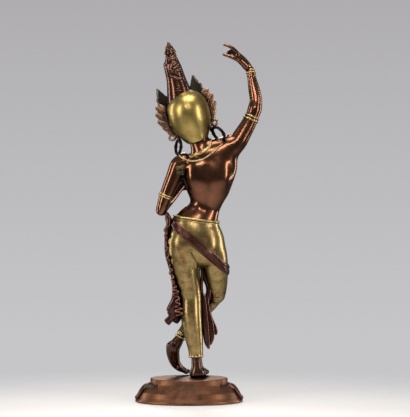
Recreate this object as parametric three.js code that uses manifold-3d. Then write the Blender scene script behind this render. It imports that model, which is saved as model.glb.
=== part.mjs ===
// A standing goddess cast in copper alloy on a lotus pedestal: weight on the left leg, the right leg
// crossed in front of it, the right arm raised over the head and the left hand held at the breast.
// Millimetres, +Z up. The figure faces -Y and its left side is +X. The origin is the middle of the
// pedestal's underside. The figure's own numbers are heights above its soles, and it is lifted onto the
// pedestal whole.

import * as THREE from "three";
import { mergeVertices } from "three/addons/utils/BufferGeometryUtils.js";
import Module from "manifold-3d";

const wasm = await Module();
wasm.setup();

const DEG = Math.PI / 180;
const LEFTWARD = new THREE.Vector3(1, 0, 0);
const BACK = new THREE.Vector3(0, 1, 0);
const UP = new THREE.Vector3(0, 0, 1);

// Pedestal: an oval of lotus petals with a collar on top, and a plain smooth back.
const PEDESTAL = {
  height: 24,
  footHalfWidth: 54,
  depthShare: 0.68, // half depth over half width
  footHeight: 2.6,
  collarHalfWidth: 38.8,
  collarHeight: 6,
  plainHalfAngle: 80 * DEG, // how far the plain back reaches round to each side
  petals: 11,
  petalHalfWidth: 8.4,
  petalThickness: 2.4,
};
const STANDING_GAP = 0.3; // the soles stand just clear of the pedestal's top

// The head's own frame: its middle, and how far it leans to the left shoulder, nods and turns left.
const HEAD = { at: [0.5, -2, 262], lean: 20 * DEG, nod: 4 * DEG, turn: 5 * DEG };

// Every limb is a row of stations: [x, y, z, half width, half depth].
const TORSO = [
  [-6.5, 0.5, 123, 26, 16],
  [-7.2, 1, 135, 28, 18.6], // widest hips
  [-5.8, 1, 146, 26.2, 17.8],
  [-9.6, 0.5, 156.5, 22.4, 14.8], // belt
  [-13.4, 0, 164, 16.8, 12],
  [-15.6, -0.5, 170.5, 15.4, 10.8], // waist
  [-17.6, -0.5, 178.5, 17, 11.8],
  [-18.8, 0, 188, 21.6, 13.6],
  [-19.4, 0.5, 198, 24.8, 14.4], // ribs
  [-19.8, 1, 207, 27.6, 13.8], // armpits
  [-19.4, 1.5, 216, 28, 11.8],
  [-14, 1.5, 223, 19, 9],
];
const NECK = [
  [-12.5, 1.5, 221, 11.4, 9.4],
  [-11.6, 0.8, 230, 9.8, 9],
  [-9.8, 0, 238, 10, 9],
  [-7, -1, 247, 10, 9.6],
];
const RIGHT_SHOULDER = [
  [-16, 1.5, 223, 10, 8.4],
  [-29, 1.5, 230, 9.6, 8],
  [-37, 1.5, 235.5, 6.4, 7],
];
const BREAST = { at: [[-5.5, -13, 199], [-31.5, -13, 201.5]], radius: 9.6 };
const RIGHT_UPPER_ARM = [
  [-31, 1, 219, 12, 10.8],
  [-42.5, 1.2, 231, 11, 10], // shoulder
  [-49.2, 1, 237, 9.4, 8.8],
  [-53.6, 0.5, 244.2, 8.6, 7.8],
  [-59.2, -0.5, 253.7, 7.8, 7.2],
  [-63.4, -1.2, 262.5, 7, 7],
  [-65.8, -2, 270, 6.6, 6.6], // elbow
];
const RIGHT_FOREARM = [
  [-65.9, -2, 268.5, 6.5, 6.4],
  [-67, -3.5, 277.5, 6.5, 6],
  [-65, -6, 289, 6, 5.6],
  [-62.6, -8.5, 301, 4.6, 4.7],
  [-61.6, -10, 307.5, 4.1, 4.3], // wrist
];
const LEFT_UPPER_ARM = [
  [4, 1.5, 216, 10, 9.4],
  [10.5, 1.5, 213, 8.6, 8.8], // shoulder
  [14.6, 2, 203, 7.9, 8],
  [19.4, 2.5, 191, 7.4, 7.4],
  [23.4, 3, 181.5, 6.6, 6.7],
  [26.6, 3, 172, 5.8, 6],
  [27.9, 2.5, 166.5, 5.2, 5.6], // elbow
];
const LEFT_FOREARM = [
  [27.5, 1.5, 168.5, 5.4, 5.4],
  [21.5, -7, 175.5, 5.2, 5.2],
  [13.2, -17, 185, 4.6, 4.6],
  [5.5, -26, 194, 3.8, 3.8], // wrist
];
const STANDING_LEG = [
  [6.6, 1, 136, 16, 16.5],
  [6, 1, 124, 15.4, 15.8],
  [4.4, 0.5, 114, 14.6, 15],
  [2.2, 0, 103, 13.4, 14],
  [0.2, -0.5, 91, 12.1, 12.8],
  [-1.8, -0.5, 79, 10.9, 11.2], // knee
  [-2.1, 1, 66, 10.9, 11],
  [-3.2, 1.5, 53, 10.3, 10.4], // calf
  [-5.3, 1.5, 38, 8.9, 8.9],
  [-6.6, 1, 28, 7.6, 7.5],
  [-7.1, 0.8, 21, 7.2, 7.3], // hem of the cloth
];
const STANDING_ANKLE = [
  [-7.4, 0.8, 24, 5.2, 5.4],
  [-7.8, 0.8, 16, 5.6, 5.8],
  [-8.4, 0.6, 7, 6.6, 6.4],
];
const STANDING_FOOT = [
  [-8.6, 3.4, 4.9, 7.6, 4.8], // heel: here half depth is the foot's half height
  [-10, -6, 5.4, 7, 5.4],
  [-12.2, -17, 3.6, 7.6, 3.6],
  [-14.2, -25, 2.6, 6.8, 2.6], // toes
];
const CROSSED_THIGH = [
  [-19.5, 0, 137, 15, 16],
  [-23.7, -2, 124, 14.2, 14.8],
  [-26, -5, 112, 13.2, 13.4],
  [-27, -9, 100, 12, 12.4],
  [-27.4, -13, 89, 10.6, 11.2],
  [-27, -15.5, 81, 9.4, 9.8], // knee
];
const CROSSED_SHIN = [
  [-26, -16.5, 80.5, 8.4, 8.6],
  [-19.7, -18.5, 72.2, 8.2, 8],
  [-8, -19, 59.5, 6.9, 7.4],
  [2.2, -17, 48.5, 6, 6.3],
  [8, -15.4, 41.5, 4.9, 5.6], // hem of the cloth
];
const CROSSED_ANKLE = [
  [8.2, -15, 40, 4.2, 4.8],
  [12.2, -14.2, 33.6, 5.6, 5],
  [16.4, -14, 27.4, 6.2, 5],
];
const CROSSED_FOOT = [
  [18.4, -12.4, 31, 4.6, 4.6], // heel
  [16.8, -13.8, 26, 6.4, 5],
  [15.8, -15.8, 19.6, 6.2, 5],
  [14, -18, 12.7, 5, 4.8],
  [9.2, -20.6, 7, 3.7, 4.6], // ball
  [2, -23, 3.2, 2.6, 3.8],
];

// Hands: the palm's stations, then each finger as its radius at the root and points from root to tip,
// from the index finger to the little finger, with the thumb last.
const RAISED_PALM = [
  [-61, -10.6, 308, 4, 4.6],
  [-56, -10.5, 314.4, 4.4, 6],
  [-50.6, -9, 319.8, 4.4, 7],
  [-47.4, -8, 323.2, 3.4, 6.6],
];
const FINGER_TAPER = 0.62; // radius at the tip over radius at the root
const RAISED_FINGERS = [
  { root: 2.1, points: [[-48.8, -3.5, 324], [-44.2, -2.5, 329], [-40, -2.5, 331.6], [-35.2, -2.5, 333]] },
  { root: 2, points: [[-48.2, -7, 324], [-44, -7, 327.2], [-40.4, -7.5, 326.6], [-38.6, -7.5, 324.8]] },
  { root: 1.9, points: [[-47.8, -10.5, 323.5], [-44.4, -11, 325.6], [-41, -11, 324.6], [-39.4, -11, 323]] },
  { root: 1.7, points: [[-48.3, -14, 322.4], [-44.4, -15, 324.4], [-40.6, -15.5, 324.6]] },
  { root: 2.3, points: [[-51, -3.5, 317], [-46, -1.5, 319.4], [-40, -1.5, 321.8], [-34.8, -1.8, 323.4]] },
];
const BREAST_PALM = [
  [5.5, -26, 194, 3.8, 3.6],
  [1.5, -29.5, 200, 5.4, 3.2],
  [-1.5, -31.5, 206, 5.8, 2.8],
];
const BREAST_FINGERS = [
  { root: 1.9, points: [[-5.5, -31.5, 207], [-8, -33.5, 211.5], [-7.5, -36.5, 212]] },
  { root: 1.9, points: [[-3, -32, 208.5], [-4.2, -33.5, 215], [-4.4, -34, 221]] },
  { root: 1.8, points: [[0.2, -32, 208], [0.4, -33.4, 214.5], [0.8, -34.2, 219.5]] },
  { root: 1.6, points: [[3.2, -31.4, 206], [4.6, -32.6, 211.5], [5.8, -33.6, 215.5]] },
  { root: 2.1, points: [[-2.5, -31, 200.5], [-6, -34.5, 204], [-7.4, -37, 209.4]] },
];

// Head, in the head's own frame: from the nape to the crown of the head.
const SKULL = [
  [-0.3, 3, -26, 10.4, 10],
  [-0.4, 2, -17, 15.8, 15.4],
  [-0.6, 1, -9, 19.2, 19.4],
  [-1, 0.4, -1, 20.8, 21.6],
  [-1.4, 0, 8, 20.6, 22.2],
  [-1.4, 0, 14, 18.4, 20],
  [-1, 0, 19, 13.6, 14.4],
];
// Balls of the face and ears: [x, y, z, half sizes].
const FACE = [
  [0, -6, -11.5, 14.5, 14, 14.5], // cheeks and chin
  [0, -20.5, -7, 2.2, 3.6, 4.4], // nose
  [0, -18.6, -13.6, 4, 2.4, 1.6], // lips
  [18.8, -1, -12, 2.4, 3.6, 7],
  [-18.8, -1, -12, 2.4, 3.6, 7],
];
const EARLOBE = [
  [19.2, -1, -14, 1.8, 3],
  [18.2, -1, -22, 1.8, 3.2],
];

// Crown: three leaves over the brow and a fan of feathers over each ear, on a band sunk into the hair.
const CROWN = {
  bandAt: [0, -3, 6.5],
  bandRadius: [20, 21],
  bandWire: [1.6, 2.2],
  leafFoot: 7,
  leafRadius: 20.4,
};
const CROWN_LEAVES = [
  { turn: 0, height: 35, halfWidth: 9.4 },
  { turn: 45 * DEG, height: 32.4, halfWidth: 11 },
  { turn: -45 * DEG, height: 33.6, halfWidth: 11 },
];
const LEAF = { flare: 13 * DEG, plate: 2.2 };
const EAR_FAN = { at: -3, plate: 2.4, sweep: 8 * DEG };

// Hair piled in a tall knot, with a jewelled finial.
const HAIR_KNOT = [
  [8.4, -3.5, 274, 13, 13],
  [10.4, -3.5, 286, 11.6, 11.8],
  [12.8, -3, 299, 9.2, 9.6],
  [16, -2.5, 310.5, 8.8, 8.8],
  [17, -2.5, 317, 6, 6.6],
  [17.8, -2.5, 322.5, 4.2, 4.4],
];
const FINIAL = [
  [18, -2.5, 321.6, 4.2, 4.2],
  [18.7, -2.5, 327, 5.4, 5.4],
  [20, -2.5, 331.6, 3.8, 3.8],
  [20.6, -2.5, 334.6, 1.6, 1.6],
];

// Rings that lie round the body: middle, half width, half depth, wire radius, and the rise from -X to +X.
const RINGS = [
  { at: [-12, 0.5, 158.4], half: [20.2, 14.4], wire: [1.7, 1.5], rise: 8 * DEG, steps: 16 }, // belt
  { at: [-11.2, 1, 229.4], half: [11, 10], wire: [1.6, 1.7], rise: -25 * DEG, steps: 12 }, // neck ring
  { at: [-11.4, 0, 225.2], half: [18, 13.5], wire: [1.5, 1.6], rise: -16 * DEG, steps: 12 }, // necklace
];
const LIMB_BANDS = [
  { limb: RIGHT_UPPER_ARM, share: 0.8, proud: 1.3, half: 2.4 }, // armlets
  { limb: LEFT_UPPER_ARM, share: 0.66, proud: 1.2, half: 1.8 },
  { limb: RIGHT_FOREARM, share: 0.97, proud: 1.1, half: 2.1 }, // bracelets
  { limb: BREAST_PALM, share: 0.3, proud: 1.1, half: 1.8 },
  { limb: CROSSED_ANKLE, share: 0.12, proud: 0.9, half: 1.4 }, // anklet
];
const EARRINGS = [
  { at: [10.6, -1, 231.2], normal: [0.93, 0.36, 0.1], radius: 7.4 },
  { at: [-29.5, 7.5, 244.5], normal: [0.66, 0.55, -0.51], radius: 7.8 },
];
const EARRING_WIRE = 1.5;

// The hip scarf: a ribbon with three ridges on one sloping loop, given by points on the hips.
const HIP_SCARF = {
  halfWidth: 4.4,
  thickness: 2.3,
  grooveDepth: 1,
  rise: 41 * DEG, // the loop's slope from the right thigh up to the left hip
  path: [
    [17.6, 4, 158],
    [11, 12.4, 151],
    [1, 17.6, 141],
    [-9, 18, 130.5],
    [-19, 14.5, 121.5],
    [-29, 7.6, 114],
    [-37, -1, 108.5],
    [-38.4, -10, 107],
    [-32, -19, 111],
    [-18, -19.6, 121],
    [-4, -18, 134],
    [8, -14.6, 146],
    [15.6, -7, 155],
  ],
};

// Scarf ends: folds hanging side by side, each a row of stations, and the step from one fold to the next.
const HIP_SCARF_END = {
  folds: 3,
  step: [0.4, -6, -1.5],
  stations: [
    [19.6, 8, 162, 3.2, 3.4],
    [19.6, 7.6, 145, 3.8, 4.2],
    [18.8, 5, 124, 3.8, 4.4],
    [14.4, 4, 103, 3.8, 4.4],
    [11.4, 4, 84, 5.4, 4.6],
    [12.6, 4, 73, 6.6, 4.2],
    [16.4, 4, 64, 6, 3.4],
    [21, 4, 55, 3.2, 2.2],
  ],
};
const SKIRT_END = {
  folds: 2,
  step: [1.6, -4.6, -3],
  stations: [
    [-13, -3, 100, 3, 2.8],
    [-17, -3, 78, 4.6, 3],
    [-19.6, -3, 58, 5.6, 3],
    [-22.6, -3, 46, 6, 2.8],
    [-20.6, -3, 37, 4, 2.2],
    [-19.6, -3, 30, 1.6, 1.4],
  ],
};
const THIGH_FOLD = [
  [-11, 8, 118, 4, 6],
  [-12.5, 4, 106, 3.4, 6],
  [-14, 1, 97, 2.6, 4],
];

// A closed three.js geometry as a solid.
function solid(geometry) {
  const bare = geometry.clone();
  for (const name of Object.keys(bare.attributes)) {
    if (name !== "position") {
      bare.deleteAttribute(name);
    }
  }
  const merged = mergeVertices(bare, 1e-3);
  return new wasm.Manifold(
    new wasm.Mesh({
      numProp: 3,
      vertProperties: merged.attributes.position.array,
      triVerts: new Uint32Array(merged.index.array),
    }),
  );
}

// A solid as a three.js geometry.
function geometryOf(shape) {
  const mesh = shape.getMesh();
  return new THREE.BufferGeometry()
    .setAttribute("position", new THREE.BufferAttribute(new Float32Array(mesh.vertProperties), 3))
    .setIndex(new THREE.BufferAttribute(new Uint32Array(mesh.triVerts), 1));
}

// One solid casting of shapes that meet: no hollow stays shut between them.
function casting(shapes) {
  const shells = shapes.reduce((whole, shape) => whole.add(shape)).decompose();
  return shells.reduce((largest, shell) => (shell.volume() > largest.volume() ? shell : largest));
}

// Moves every vertex of a geometry to where place(vertex) puts it.
function reshape(geometry, place) {
  const position = geometry.attributes.position;
  const point = new THREE.Vector3();
  for (let i = 0; i < position.count; i += 1) {
    const moved = place(point.fromBufferAttribute(position, i));
    position.setXYZ(i, moved.x, moved.y, moved.z);
  }
  return geometry;
}

// The head's frame as a matrix: local x is the figure's left, y its back and z the crown of its head.
const headFrame = new THREE.Matrix4()
  .makeTranslation(...HEAD.at)
  .multiply(new THREE.Matrix4().makeRotationY(HEAD.lean))
  .multiply(new THREE.Matrix4().makeRotationX(HEAD.nod))
  .multiply(new THREE.Matrix4().makeRotationZ(HEAD.turn));

// The place, direction and half sizes of a limb at a share of its length, with depthwise near depthAxis.
function limbAt(stations, depthAxis) {
  const middle = new THREE.CatmullRomCurve3(stations.map(([x, y, z]) => new THREE.Vector3(x, y, z)));
  const sizes = new THREE.CatmullRomCurve3(stations.map(([, , , w, d]) => new THREE.Vector3(w, d, 0)));
  return (share) => {
    const at = middle.getPoint(share);
    const along = middle.getTangent(share);
    const depthwise = depthAxis.clone().addScaledVector(along, -depthAxis.dot(along)).normalize();
    const widthwise = depthwise.clone().cross(along);
    const size = sizes.getPoint(share);
    return { at, along, depthwise, widthwise, w: size.x, d: size.y };
  };
}

// A round-ended body through the stations, made by drawing a ball's rows out along the limb.
function limb(stations, { sides = 8, cap = 2, dome = 0.8, depthAxis = BACK } = {}) {
  const place = limbAt(stations, depthAxis);
  const rows = stations.length - 1;
  const all = rows + 2 * cap;
  const ball = new THREE.SphereGeometry(1, sides, all);
  return solid(
    reshape(ball, (point) => {
      const row = Math.round((Math.acos(THREE.MathUtils.clamp(point.y, -1, 1)) / Math.PI) * all);
      const turn = Math.atan2(point.z, point.x);
      const past = Math.max(cap - row, row - cap - rows, 0) / cap;
      const share = THREE.MathUtils.clamp((row - cap) / rows, 0, 1);
      const { at, along, depthwise, widthwise, w, d } = place(share);
      const close = Math.cos((past * Math.PI) / 2);
      const beyond = Math.sin((past * Math.PI) / 2) * Math.min(w, d) * dome * (row < cap ? -1 : 1);
      return at
        .addScaledVector(along, beyond)
        .addScaledVector(widthwise, Math.cos(turn) * w * close)
        .addScaledVector(depthwise, Math.sin(turn) * d * close);
    }),
  );
}

// A finger: a thin limb that tapers from root to tip.
function finger({ root, points }) {
  const stations = points.map((p, i) => {
    const radius = root * THREE.MathUtils.lerp(1, FINGER_TAPER, i / (points.length - 1));
    return [...p, radius, radius];
  });
  return limb(stations, { sides: 5, cap: 1, depthAxis: new THREE.Vector3(0.3, 1, 0.2).normalize() });
}

// A limb given in the head's frame.
function headLimb(stations, options = {}) {
  const placed = stations.map(([x, y, z, w, d]) => [
    ...new THREE.Vector3(x, y, z).applyMatrix4(headFrame).toArray(),
    w,
    d,
  ]);
  const depthAxis = BACK.clone().transformDirection(headFrame);
  return limb(placed, { ...options, depthAxis });
}

// A body bent along a closed loop. loop(share) gives a point with its outward and upward directions, and
// section(cos, sin) how far the skin lies outward and upward at a turn about the body's own middle.
function closedLoop(loop, section, { sides = 4, steps = 16 } = {}) {
  const tube = 0.1;
  const ring = new THREE.TorusGeometry(1, tube, sides, steps);
  return solid(
    reshape(ring, (point) => {
      const share = (Math.atan2(point.y, point.x) / (2 * Math.PI) + 1) % 1;
      const { at, out, up } = loop(share);
      const [outward, upward] = section((Math.hypot(point.x, point.y) - 1) / tube, point.z / tube);
      return at.clone().addScaledVector(out, outward).addScaledVector(up, upward);
    }),
  );
}

// An oval ring in the plane with this normal; firstAxis is the direction of its first half size.
function ovalRing({ at, normal, firstAxis, half, wire, sides, steps }) {
  const up = new THREE.Vector3(...normal).normalize();
  const u = firstAxis.clone().addScaledVector(up, -firstAxis.dot(up)).normalize();
  const v = up.clone().cross(u);
  const middle = new THREE.Vector3(...at);
  const loop = (share) => {
    const turn = share * 2 * Math.PI;
    const out = u.clone().multiplyScalar(Math.cos(turn)).addScaledVector(v, Math.sin(turn));
    const point = middle.clone().addScaledVector(u, Math.cos(turn) * half[0]);
    return { at: point.addScaledVector(v, Math.sin(turn) * half[1]), out, up };
  };
  return closedLoop(loop, (cos, sin) => [cos * wire[0], sin * wire[1]], { sides, steps });
}

// A band clasped round a limb at a share of its length.
function limbBand({ limb: stations, share, proud, half }) {
  const { at, along, widthwise, w, d } = limbAt(stations, BACK)(share);
  return ovalRing({
    at: at.toArray(),
    normal: along.toArray(),
    firstAxis: widthwise,
    half: [w, d],
    wire: [proud, half],
    steps: 8,
  });
}

// The hip scarf's ribbon, with its flat side buried in the hips and grooves between its ridges.
function hipScarf({ halfWidth, thickness, grooveDepth, rise, path }) {
  const curve = new THREE.CatmullRomCurve3(path.map((p) => new THREE.Vector3(...p)), true);
  const centre = path.reduce((sum, p) => sum.add(new THREE.Vector3(...p)), new THREE.Vector3());
  centre.divideScalar(path.length);
  const up = loopNormal(rise);
  const loop = (share) => {
    const at = curve.getPoint(share);
    const out = at.clone().sub(centre);
    out.addScaledVector(up, -out.dot(up)).normalize();
    return { at, out, up };
  };
  const section = (cos, sin) => {
    const groove = Math.abs(Math.abs(sin) - 0.5) < 0.1 ? grooveDepth : 0;
    return [cos > 0.05 ? thickness - groove : -thickness, sin * halfWidth];
  };
  return closedLoop(loop, section, { sides: 12, steps: 16 });
}

// The upward normal of a loop that rises from -X to +X by this angle.
function loopNormal(rise) {
  return new THREE.Vector3(-Math.sin(rise), 0, Math.cos(rise));
}

// Cloth folds hanging side by side from one place.
function foldedEnd({ folds, step, stations }) {
  return Array.from({ length: folds }, (_, i) => {
    const moved = stations.map(([x, y, z, w, d], row) => {
      const spread = i * Math.min(1, (row + 1) / 2);
      return [x + step[0] * spread, y + step[1] * spread, z + step[2] * i, w, d];
    });
    return limb(moved, { sides: 5, cap: 1 });
  });
}

// An outline extruded to a plate that stands upright, its back at y = 0 and its face towards -Y.
function uprightPlate(outline, thickness) {
  const options = { depth: thickness, bevelEnabled: false, curveSegments: 2 };
  return new THREE.ExtrudeGeometry(outline, options).rotateX(Math.PI / 2);
}

// A crown leaf over the brow: an ogee with side lobes, leaning outwards.
function crownLeaf({ turn, height, halfWidth }) {
  const half = [[0.5, 0], [0.95, 0.22], [0.72, 0.34], [0.86, 0.55], [0.5, 0.64]];
  const outline = new THREE.Shape();
  outline.moveTo(-half[0][0], half[0][1]);
  for (const [x, z] of half.slice(1)) {
    outline.lineTo(-x, z);
  }
  outline.quadraticCurveTo(-0.24, 0.78, 0, 1);
  outline.quadraticCurveTo(0.24, 0.78, half[4][0], half[4][1]);
  for (const [x, z] of half.slice(0, 4).reverse()) {
    outline.lineTo(x, z);
  }
  const leaf = uprightPlate(outline, LEAF.plate)
    .scale(halfWidth, 1, height)
    .rotateX(LEAF.flare)
    .translate(0, -CROWN.leafRadius, CROWN.leafFoot)
    .rotateZ(turn)
    .applyMatrix4(headFrame);
  return solid(leaf);
}

// The fan of scrolls over an ear; side is +1 on the left and -1 on the right.
function earFan(side) {
  const outline = new THREE.Shape();
  outline.moveTo(17 * side, -14);
  outline.quadraticCurveTo(25 * side, -18, 26.5 * side, -12);
  outline.lineTo(24.8 * side, -8);
  outline.quadraticCurveTo(29.5 * side, -7, 29.4 * side, -1);
  outline.lineTo(32.8 * side, 7);
  outline.lineTo(30.8 * side, 10);
  outline.lineTo(31.4 * side, 16);
  outline.lineTo(28.4 * side, 16.4);
  outline.lineTo(27.6 * side, 22);
  outline.lineTo(24 * side, 17.5);
  outline.lineTo(20 * side, 19);
  outline.lineTo(16 * side, 8);
  const fan = uprightPlate(outline, EAR_FAN.plate)
    .translate(0, EAR_FAN.at, 0)
    .rotateZ(EAR_FAN.sweep * side)
    .applyMatrix4(headFrame);
  return solid(fan);
}

function crownBand() {
  return ovalRing({
    at: new THREE.Vector3(...CROWN.bandAt).applyMatrix4(headFrame).toArray(),
    normal: UP.clone().transformDirection(headFrame).toArray(),
    firstAxis: LEFTWARD.clone().transformDirection(headFrame),
    half: CROWN.bandRadius,
    wire: CROWN.bandWire,
    steps: 12,
  });
}

function head() {
  const faceBalls = FACE.map(([x, y, z, a, b, c]) => {
    const ball = new THREE.SphereGeometry(1, 6, 5).rotateX(Math.PI / 2);
    return solid(ball.scale(a, b, c).translate(x, y, z).applyMatrix4(headFrame));
  });
  const mirrored = ([x, ...rest]) => [-x, ...rest];
  return [
    headLimb(SKULL, { sides: 10, dome: 0.5 }),
    ...faceBalls,
    headLimb(EARLOBE, { sides: 5, cap: 1 }),
    headLimb(EARLOBE.map(mirrored), { sides: 5, cap: 1 }),
    crownBand(),
    ...CROWN_LEAVES.map(crownLeaf),
    earFan(1),
    earFan(-1),
    limb(HAIR_KNOT, { cap: 1 }),
    limb(FINIAL, { sides: 6, cap: 1 }),
  ];
}

function bust() {
  const breasts = BREAST.at.map((at) => {
    const ball = new THREE.SphereGeometry(BREAST.radius, 8, 6);
    return solid(ball.translate(...at));
  });
  const hands = [...RAISED_FINGERS, ...BREAST_FINGERS].map(finger);
  return [
    limb(TORSO, { sides: 10, cap: 1 }),
    limb(NECK, { cap: 1 }),
    limb(RIGHT_SHOULDER, { cap: 1 }),
    limb(RIGHT_UPPER_ARM),
    limb(RIGHT_FOREARM, { cap: 1 }),
    limb(LEFT_UPPER_ARM),
    limb(LEFT_FOREARM, { cap: 1 }),
    limb(RAISED_PALM, { sides: 6, cap: 1 }),
    limb(BREAST_PALM, { sides: 6, cap: 1 }),
    ...breasts,
    ...hands,
  ];
}

function legs() {
  return [
    limb(STANDING_LEG, { sides: 10 }),
    limb(STANDING_ANKLE, { cap: 1 }),
    limb(STANDING_FOOT, { depthAxis: UP }),
    limb(CROSSED_THIGH, { sides: 10 }),
    limb(CROSSED_SHIN),
    limb(CROSSED_ANKLE, { cap: 1 }),
    limb(CROSSED_FOOT),
    limb(THIGH_FOLD, { sides: 5, cap: 1 }),
  ];
}

function dressAndJewels() {
  const rings = RINGS.map(({ rise, ...ring }) =>
    ovalRing({ ...ring, normal: loopNormal(rise).toArray(), firstAxis: LEFTWARD }),
  );
  const hoops = EARRINGS.map(({ radius, ...place }) => {
    const half = [radius, radius];
    const wire = [EARRING_WIRE, EARRING_WIRE];
    return ovalRing({ ...place, firstAxis: UP, half, wire, sides: 5, steps: 12 });
  });
  return [
    ...rings,
    ...hoops,
    ...LIMB_BANDS.map(limbBand),
    hipScarf(HIP_SCARF),
    ...foldedEnd(HIP_SCARF_END),
    ...foldedEnd(SKIRT_END),
  ];
}

const figure = () => casting([...bust(), ...head(), ...legs(), ...dressAndJewels()]);

// One lotus petal, tip down, drawn over the pedestal's flank at a turn from the front.
function petal(turn) {
  const { footHalfWidth, depthShare, petalHalfWidth, petalThickness } = PEDESTAL;
  // Each row: share of the foot's half width, height, share of the petal's half width.
  const rows = [
    [0.75, 14.4, 0.62],
    [0.85, 12.6, 0.94],
    [0.9, 9.2, 1],
    [0.94, 5.6, 0.72],
    [1, 3.8, 0.24],
  ];
  const stations = rows.map(([reach, z, wide]) => {
    const r = footHalfWidth * reach;
    const y = -Math.cos(turn) * r * depthShare;
    return [Math.sin(turn) * r, y, z, petalHalfWidth * wide, petalThickness];
  });
  const outward = new THREE.Vector3(Math.sin(turn) * depthShare, -Math.cos(turn), 0).normalize();
  return limb(stations, { sides: 5, cap: 1, depthAxis: outward });
}

// An oval turned body from a profile of [half width, z], which starts and ends on the axis.
function ovalLathe(profile) {
  const turned = new THREE.LatheGeometry(profile.map(([r, z]) => new THREE.Vector2(r, z)), 24);
  return solid(turned.rotateX(Math.PI / 2).scale(1, PEDESTAL.depthShare, 1));
}

// A prism over the turns within the plain back.
function backWedge() {
  const { plainHalfAngle, footHalfWidth, depthShare, height } = PEDESTAL;
  const reach = 3 * footHalfWidth;
  const side = [reach * Math.sin(plainHalfAngle), reach * Math.cos(plainHalfAngle) * depthShare];
  const wedge = new THREE.Shape();
  wedge.moveTo(0, 0);
  wedge.lineTo(...side);
  wedge.lineTo(side[0], reach);
  wedge.lineTo(-side[0], reach);
  wedge.lineTo(-side[0], side[1]);
  return solid(new THREE.ExtrudeGeometry(wedge, { depth: height, bevelEnabled: false }));
}

function pedestal() {
  const { height, footHalfWidth: foot, collarHalfWidth: collar, petals } = PEDESTAL;
  const flank = [[0.93, 4.6], [0.88, 10.4], [0.8, 15]];
  const smooth = [[0.955, 5.6], [0.907, 10.4], [0.83, 15], [0.77, 18.6]];
  // A profile from the underside up: the foot, the rows of the flank as shares of the foot, and the collar.
  const profile = (rows, rim, rimFoot) => [
    [0, 0],
    [foot, 0],
    [foot, PEDESTAL.footHeight],
    ...rows.map(([share, z]) => [foot * share, z]),
    [rim, rimFoot],
    [rim, height],
    [0, height],
  ];
  const front = ovalLathe(profile(flank, collar, height - PEDESTAL.collarHeight));
  const back = ovalLathe(profile(smooth, collar + 0.6, height - 2));
  const span = 2 * (Math.PI - PEDESTAL.plainHalfAngle);
  const turns = Array.from({ length: petals }, (_, i) => span * ((i + 0.5) / petals - 0.5));
  return casting([front, back.intersect(backWedge()), ...turns.map(petal)]);
}

const COPPER = new THREE.MeshStandardMaterial({ color: 0x6b4029, roughness: 0.32, metalness: 1 });
const RED_COPPER = new THREE.MeshStandardMaterial({ color: 0x8a5a40, roughness: 0.45, metalness: 1 });

const group = new THREE.Group();
function addPiece(name, shape, material, lift) {
  const mesh = new THREE.Mesh(geometryOf(shape), material);
  mesh.name = name;
  mesh.position.z = lift;
  group.add(mesh);
}
addPiece("lotus_pedestal", pedestal(), RED_COPPER, 0);
addPiece("goddess_figure", figure(), COPPER, PEDESTAL.height + STANDING_GAP);

export default group;
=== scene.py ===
# A small cast copper-alloy goddess, partly gilt, cross-legged on a lotus pedestal with a plain back.
# Every form is modelled as clay: a grid that says how far each point lies outside the form, in millimetres.
# The figure's own numbers are millimetres in the part's frame, with heights measured from its soles.
import math
from itertools import product

import bpy
import numpy as np
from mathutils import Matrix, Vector


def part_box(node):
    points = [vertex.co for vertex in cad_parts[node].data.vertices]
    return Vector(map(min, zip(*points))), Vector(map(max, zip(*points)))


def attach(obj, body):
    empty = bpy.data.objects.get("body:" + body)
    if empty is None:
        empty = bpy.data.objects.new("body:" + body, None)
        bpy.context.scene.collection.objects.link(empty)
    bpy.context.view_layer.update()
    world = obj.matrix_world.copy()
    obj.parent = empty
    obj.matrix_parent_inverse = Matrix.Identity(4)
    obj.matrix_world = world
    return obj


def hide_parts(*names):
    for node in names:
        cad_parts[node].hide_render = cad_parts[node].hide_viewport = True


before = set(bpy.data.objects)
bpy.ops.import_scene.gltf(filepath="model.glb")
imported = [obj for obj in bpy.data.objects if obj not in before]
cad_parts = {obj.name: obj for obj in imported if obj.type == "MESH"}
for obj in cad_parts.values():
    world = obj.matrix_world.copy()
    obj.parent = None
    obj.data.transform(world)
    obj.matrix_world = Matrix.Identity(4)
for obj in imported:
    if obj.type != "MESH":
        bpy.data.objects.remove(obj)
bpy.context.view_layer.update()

MM = 0.001
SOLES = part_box("goddess_figure")[0].z / MM  # height of the soles over the pedestal's underside
COARSE = 1.0
FAR = 40.0


# Vectors, turns and smooth lines

def unit(v):
    v = np.array(v, float)
    return v / np.linalg.norm(v)


def turned(axis, degrees):
    """A turn about X, Y or Z as a 4 by 4 matrix."""
    a, b = {"X": (1, 2), "Y": (2, 0), "Z": (0, 1)}[axis]
    angle = math.radians(degrees)
    made = np.eye(4)
    made[a, a] = made[b, b] = math.cos(angle)
    made[b, a] = math.sin(angle)
    made[a, b] = -made[b, a]
    return made


def moved(x, y, z):
    made = np.eye(4)
    made[:3, 3] = x, y, z
    return made


def placed(matrix, points):
    return np.asarray(points, float) @ matrix[:3, :3].T + matrix[:3, 3]


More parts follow.
